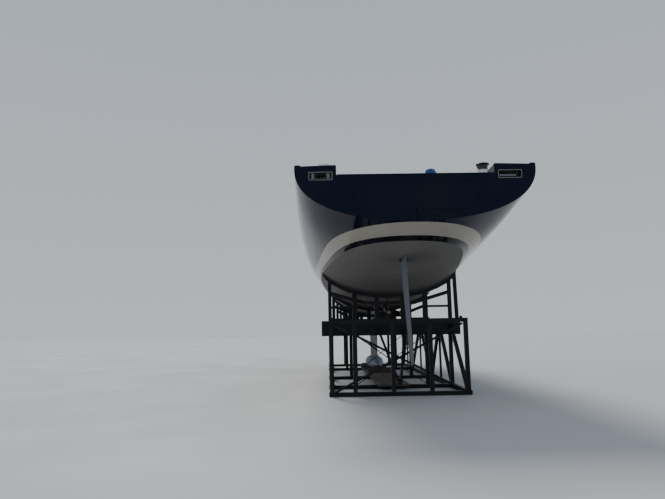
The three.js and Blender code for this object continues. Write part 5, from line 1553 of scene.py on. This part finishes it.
def make_keel_bed():
    """Four runs of rough boards butted end to end, with shaped chocks that carry the bulb."""
    shape = Shape().use(TIMBER)
    chance = random.Random(4)
    near_end, far_end, low, top = BED["from"], BED["to"], BED["low"], BED["top"]
    for row in range(BED["rows"]):
        x = -BED["half"] + PLANK * row
        joints = [near_end, near_end + chance.uniform(2.2, 3.4), far_end - chance.uniform(1.8, 2.8), far_end]
        for near, far in zip(joints, joints[1:]):
            drop = chance.uniform(0.0, 0.004)
            shape.box((x + 0.003, near + 0.003, low), (x + PLANK - 0.003, far - 0.003, top - drop))
    for y in CHOCKS_Y:
        for near, far in ((y - CHOCK_LONG, y - SAW_GAP), (y + SAW_GAP, y + CHOCK_LONG)):
            rings = []
            for x in spread(-CHOCK_HALF, CHOCK_HALF, 61):
                under = min(bulb_underside(x, near), bulb_underside(x, far)) - 0.003
                high = max(min(under, CHOCK_TOP), top + 0.004)
                rings.append([(x, near, top - 0.004), (x, far, top - 0.004), (x, far, high), (x, near, high)])
            shape.loft(rings)
    shape.use(BRUSHED)
    for place in spread(near_end + 0.16, far_end - 0.16, 12):
        for row in range(BED["rows"]):
            for dx in (0.05, PLANK - 0.05):
                x, y = -BED["half"] + PLANK * row + dx, place + 0.01 * ((row + dx * 40) % 2)
                shape.rod((x, y, top - 0.006), (x, y, top + 0.0006), 0.004, 8)
    shape.finish("keel_bed_boards", "yacht", "timber", bevel=0.0035, angle=50, replaces=("keel_bed",))


BASE_HIGH, BEAM_TOP, SIDE_X, TUBE = 0.100, 1.880, 1.680, 0.100
# Frames of the cradle that reach the hull. Columns: y, half span of the saddle, height of the beam.
TALL_FRAMES = [(-5.8, 1.860, 0.420), (-2.7, 1.700, 0.260), (1.5, 1.500, 0.260), (4.2, 1.300, 0.260)]
FRAMES_Y = (-7.600, *(row[0] for row in TALL_FRAMES))
POST_X, STRUT_X = 1.000, 0.370
GUSSETS_X, GUSSET = (POST_X + 0.075, STRUT_X + 0.070), 0.085
# Plates bolted to the skids under each frame. Columns: inner face, outer face, half length, foot, top.
FOOT_PLATE = (SIDE_X + 0.060, SIDE_X + 0.070, 0.090, 0.012, 0.108)
INNER_PLATE = (SIDE_X - 0.085, SIDE_X - 0.060, 0.070, BASE_HIGH, BASE_HIGH + 0.012)
LUGS_Y = (-7.15, -3.6, 0.6, 3.75)
CARPET_FACE, CARPET_THICK, CARPET_DEEP = 0.1105, 0.007, 0.055


def weld(shape, x, y, z, half_x, chance):
    """A lumpy bead round the foot of a tube that stands on a level face."""
    half_y = TUBE / 2
    corners = [(-half_x, -half_y), (half_x, -half_y), (half_x, half_y), (-half_x, half_y)]
    path, radii = [], []
    for (x0, y0), (x1, y1) in zip(corners, corners[1:] + corners[:1]):
        for k in range(6):
            path.append((x + x0 + (x1 - x0) * k / 6, y + y0 + (y1 - y0) * k / 6, z + 0.001))
            radii.append(0.0055 + chance.uniform(-0.0012, 0.0016))
    shape.tube(path, radii, 6, closed=True)


def gusset(shape, side, x, y):
    """A small upright triangle welded on a beam beside a post."""
    corners = ((x, BEAM_TOP), (x + GUSSET, BEAM_TOP), (x, BEAM_TOP + GUSSET))
    shape.add([(side * across, y + dy, z) for dy in (-0.005, 0.005) for across, z in corners],
              [(0, 1, 2), (5, 4, 3), (0, 3, 4, 1), (1, 4, 5, 2), (2, 5, 3, 0)])


def lug(shape, x, y):
    """A lifting lug on a side's rail: a round plate with an eye."""
    shape.rod((x, y - 0.010, BEAM_TOP + 0.012), (x, y + 0.010, BEAM_TOP + 0.012), 0.045, 28)
    ring = [(x + across, y, BEAM_TOP + 0.034 + up) for across, up in circle(0.030, 20)]
    shape.tube(ring, 0.006, 8, closed=True)


def make_cradle_details():
    """Weld beads, gussets, bolted plates, lifting lugs and the carpets on the saddles."""
    chance = random.Random(9)
    beads, plates, pads = Shape().use(WELD), Shape().use(CRADLE_STEEL), Shape().use(CARPET)
    for y, _, high in TALL_FRAMES:
        for side, _ in SIDES:
            for x, z, half in ((POST_X, BASE_HIGH, 0.5), (POST_X, BEAM_TOP - high, 0.5),
                               (STRUT_X, BEAM_TOP, 0.65), (POST_X, BEAM_TOP, 0.7)):
                weld(beads, side * x, y, z, TUBE * half, chance)
            for x in GUSSETS_X:
                gusset(plates, side, x, y)
    for y in FRAMES_Y:
        for side, _ in SIDES:
            weld(beads, side * SIDE_X, y, BASE_HIGH + 0.020, TUBE / 2, chance)
            for near, far, half, foot, top in (FOOT_PLATE, INNER_PLATE):
                plates.box((side * near, y - half, foot), (side * far, y + half, top))
            for dy in (-0.065, 0.065):
                for z in (0.032, 0.088):
                    plates.bolt((side * FOOT_PLATE[1], y + dy, z), (side, 0, 0), 0.013)
            plates.bolt((side * (SIDE_X - 0.0725), y, INNER_PLATE[-1]), (0, 0, 1), 0.012)
    for side, _ in SIDES:
        for y in LUGS_Y:
            lug(plates, side * SIDE_X, y)
    beads.finish("cradle_weld_beads", "yacht", "cradle_steel", angle=60)
    plates.finish("cradle_plates", "yacht", "cradle_steel", bevel=0.002, angle=50)
    for y, span, _ in TALL_FRAMES:
        for face in (-1, 1):
            near, far = y + face * CARPET_FACE, y + face * (CARPET_FACE + CARPET_THICK)
            rings = []
            for x in spread(-span - 0.04, span + 0.04, 90):
                section = (near + far) / 2
                angle = halved(lambda angle: hull_surface(section, angle, 1).x < abs(x))
                top = hull_surface(section, angle, 1).z - SKIN - 0.0015
                low = top - CARPET_DEEP - 0.006 * math.sin(x * 9 + y) - chance.uniform(0.0, 0.003)
                rings.append([(x, near, low), (x, far, low), (x, far, top), (x, near, top)])
            pads.loft(rings)
    pads.finish("saddle_carpet_edges", "yacht", "cradle_steel", bevel=0.0015, angle=60)


make_propeller()
make_shaft_trim()
make_keel_bed()
make_cradle_details()


# CAD nodes that keep their form. Columns: node, piece, slot, material, rounding, and where they aren't the
# usual ones, the rounding's segments and the least angle of an edge that is rounded.
DRESSED = [
    ("cockpit", "cockpit_moulded", "white_moulding", WHITE, 0.014, 3),
    ("coachroof", "coachroof_moulded", "white_moulding", WHITE, 0.012, 3, 24),
    ("companionway_hatch", "companionway_hatch_edged", "smoked_glass", GLASS, 0.004),
    ("companionway_door", "companionway_door_edged", "smoked_glass", GLASS, 0.003),
    ("hatch_rails", "hatch_rails_edged", "alloy", ALLOY, 0.003),
    ("mast_collar", "mast_collar_edged", "alloy", ALLOY, 0.008, 3),
    ("stem_fitting", "stem_fitting_edged", "stainless", BRUSHED, 0.006, 3),
    ("shaft_strut", "shaft_strut_cast", "bronze", BRONZE, 0.003, 2, 40),
]
for _, name in SIDES:
    DRESSED += [
        (f"quarter_box_{name}", f"quarter_{name}_moulded", "topsides", NAVY_GLOSS, 0.006),
        (f"coachroof_glass_{name}", f"coachroof_window_{name}", "smoked_glass", GLASS, 0.0015),
        (f"pedestal_{name}", f"pedestal_{name}_moulded", "white_moulding", WHITE, 0.016, 3),
        (f"chainplate_{name}", f"chainplate_{name}_edged", "stainless", BRUSHED, 0.003),
    ]
for node in frame["nodes"]:
    if node.startswith("cradle"):
        DRESSED.append((node, node + "_welded", "cradle_steel", CRADLE_STEEL, 0.006))
for row in DRESSED:
    dress(*row)

# CAD nodes that stay, each with its finish
FINISHES = {"hull": HULL_INSIDE, "bulwark_port": HULL_INSIDE, "bulwark_stbd": HULL_INSIDE, "deck": DECK_TEAK,
            "companionway_steps": PLAIN_TEAK, "deck_moulding": WHITE, "saloon_lining": WHITE,
            "propeller_shaft": STAINLESS, "rudder_bearing": RUBBER}
for node, material in FINISHES.items():
    data = frame["nodes"][node].data
    data.materials.clear()
    data.materials.append(material)

dressed_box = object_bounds()
{"cad": [list(corner) for corner in cad_box], "dressed": [list(corner) for corner in dressed_box]}
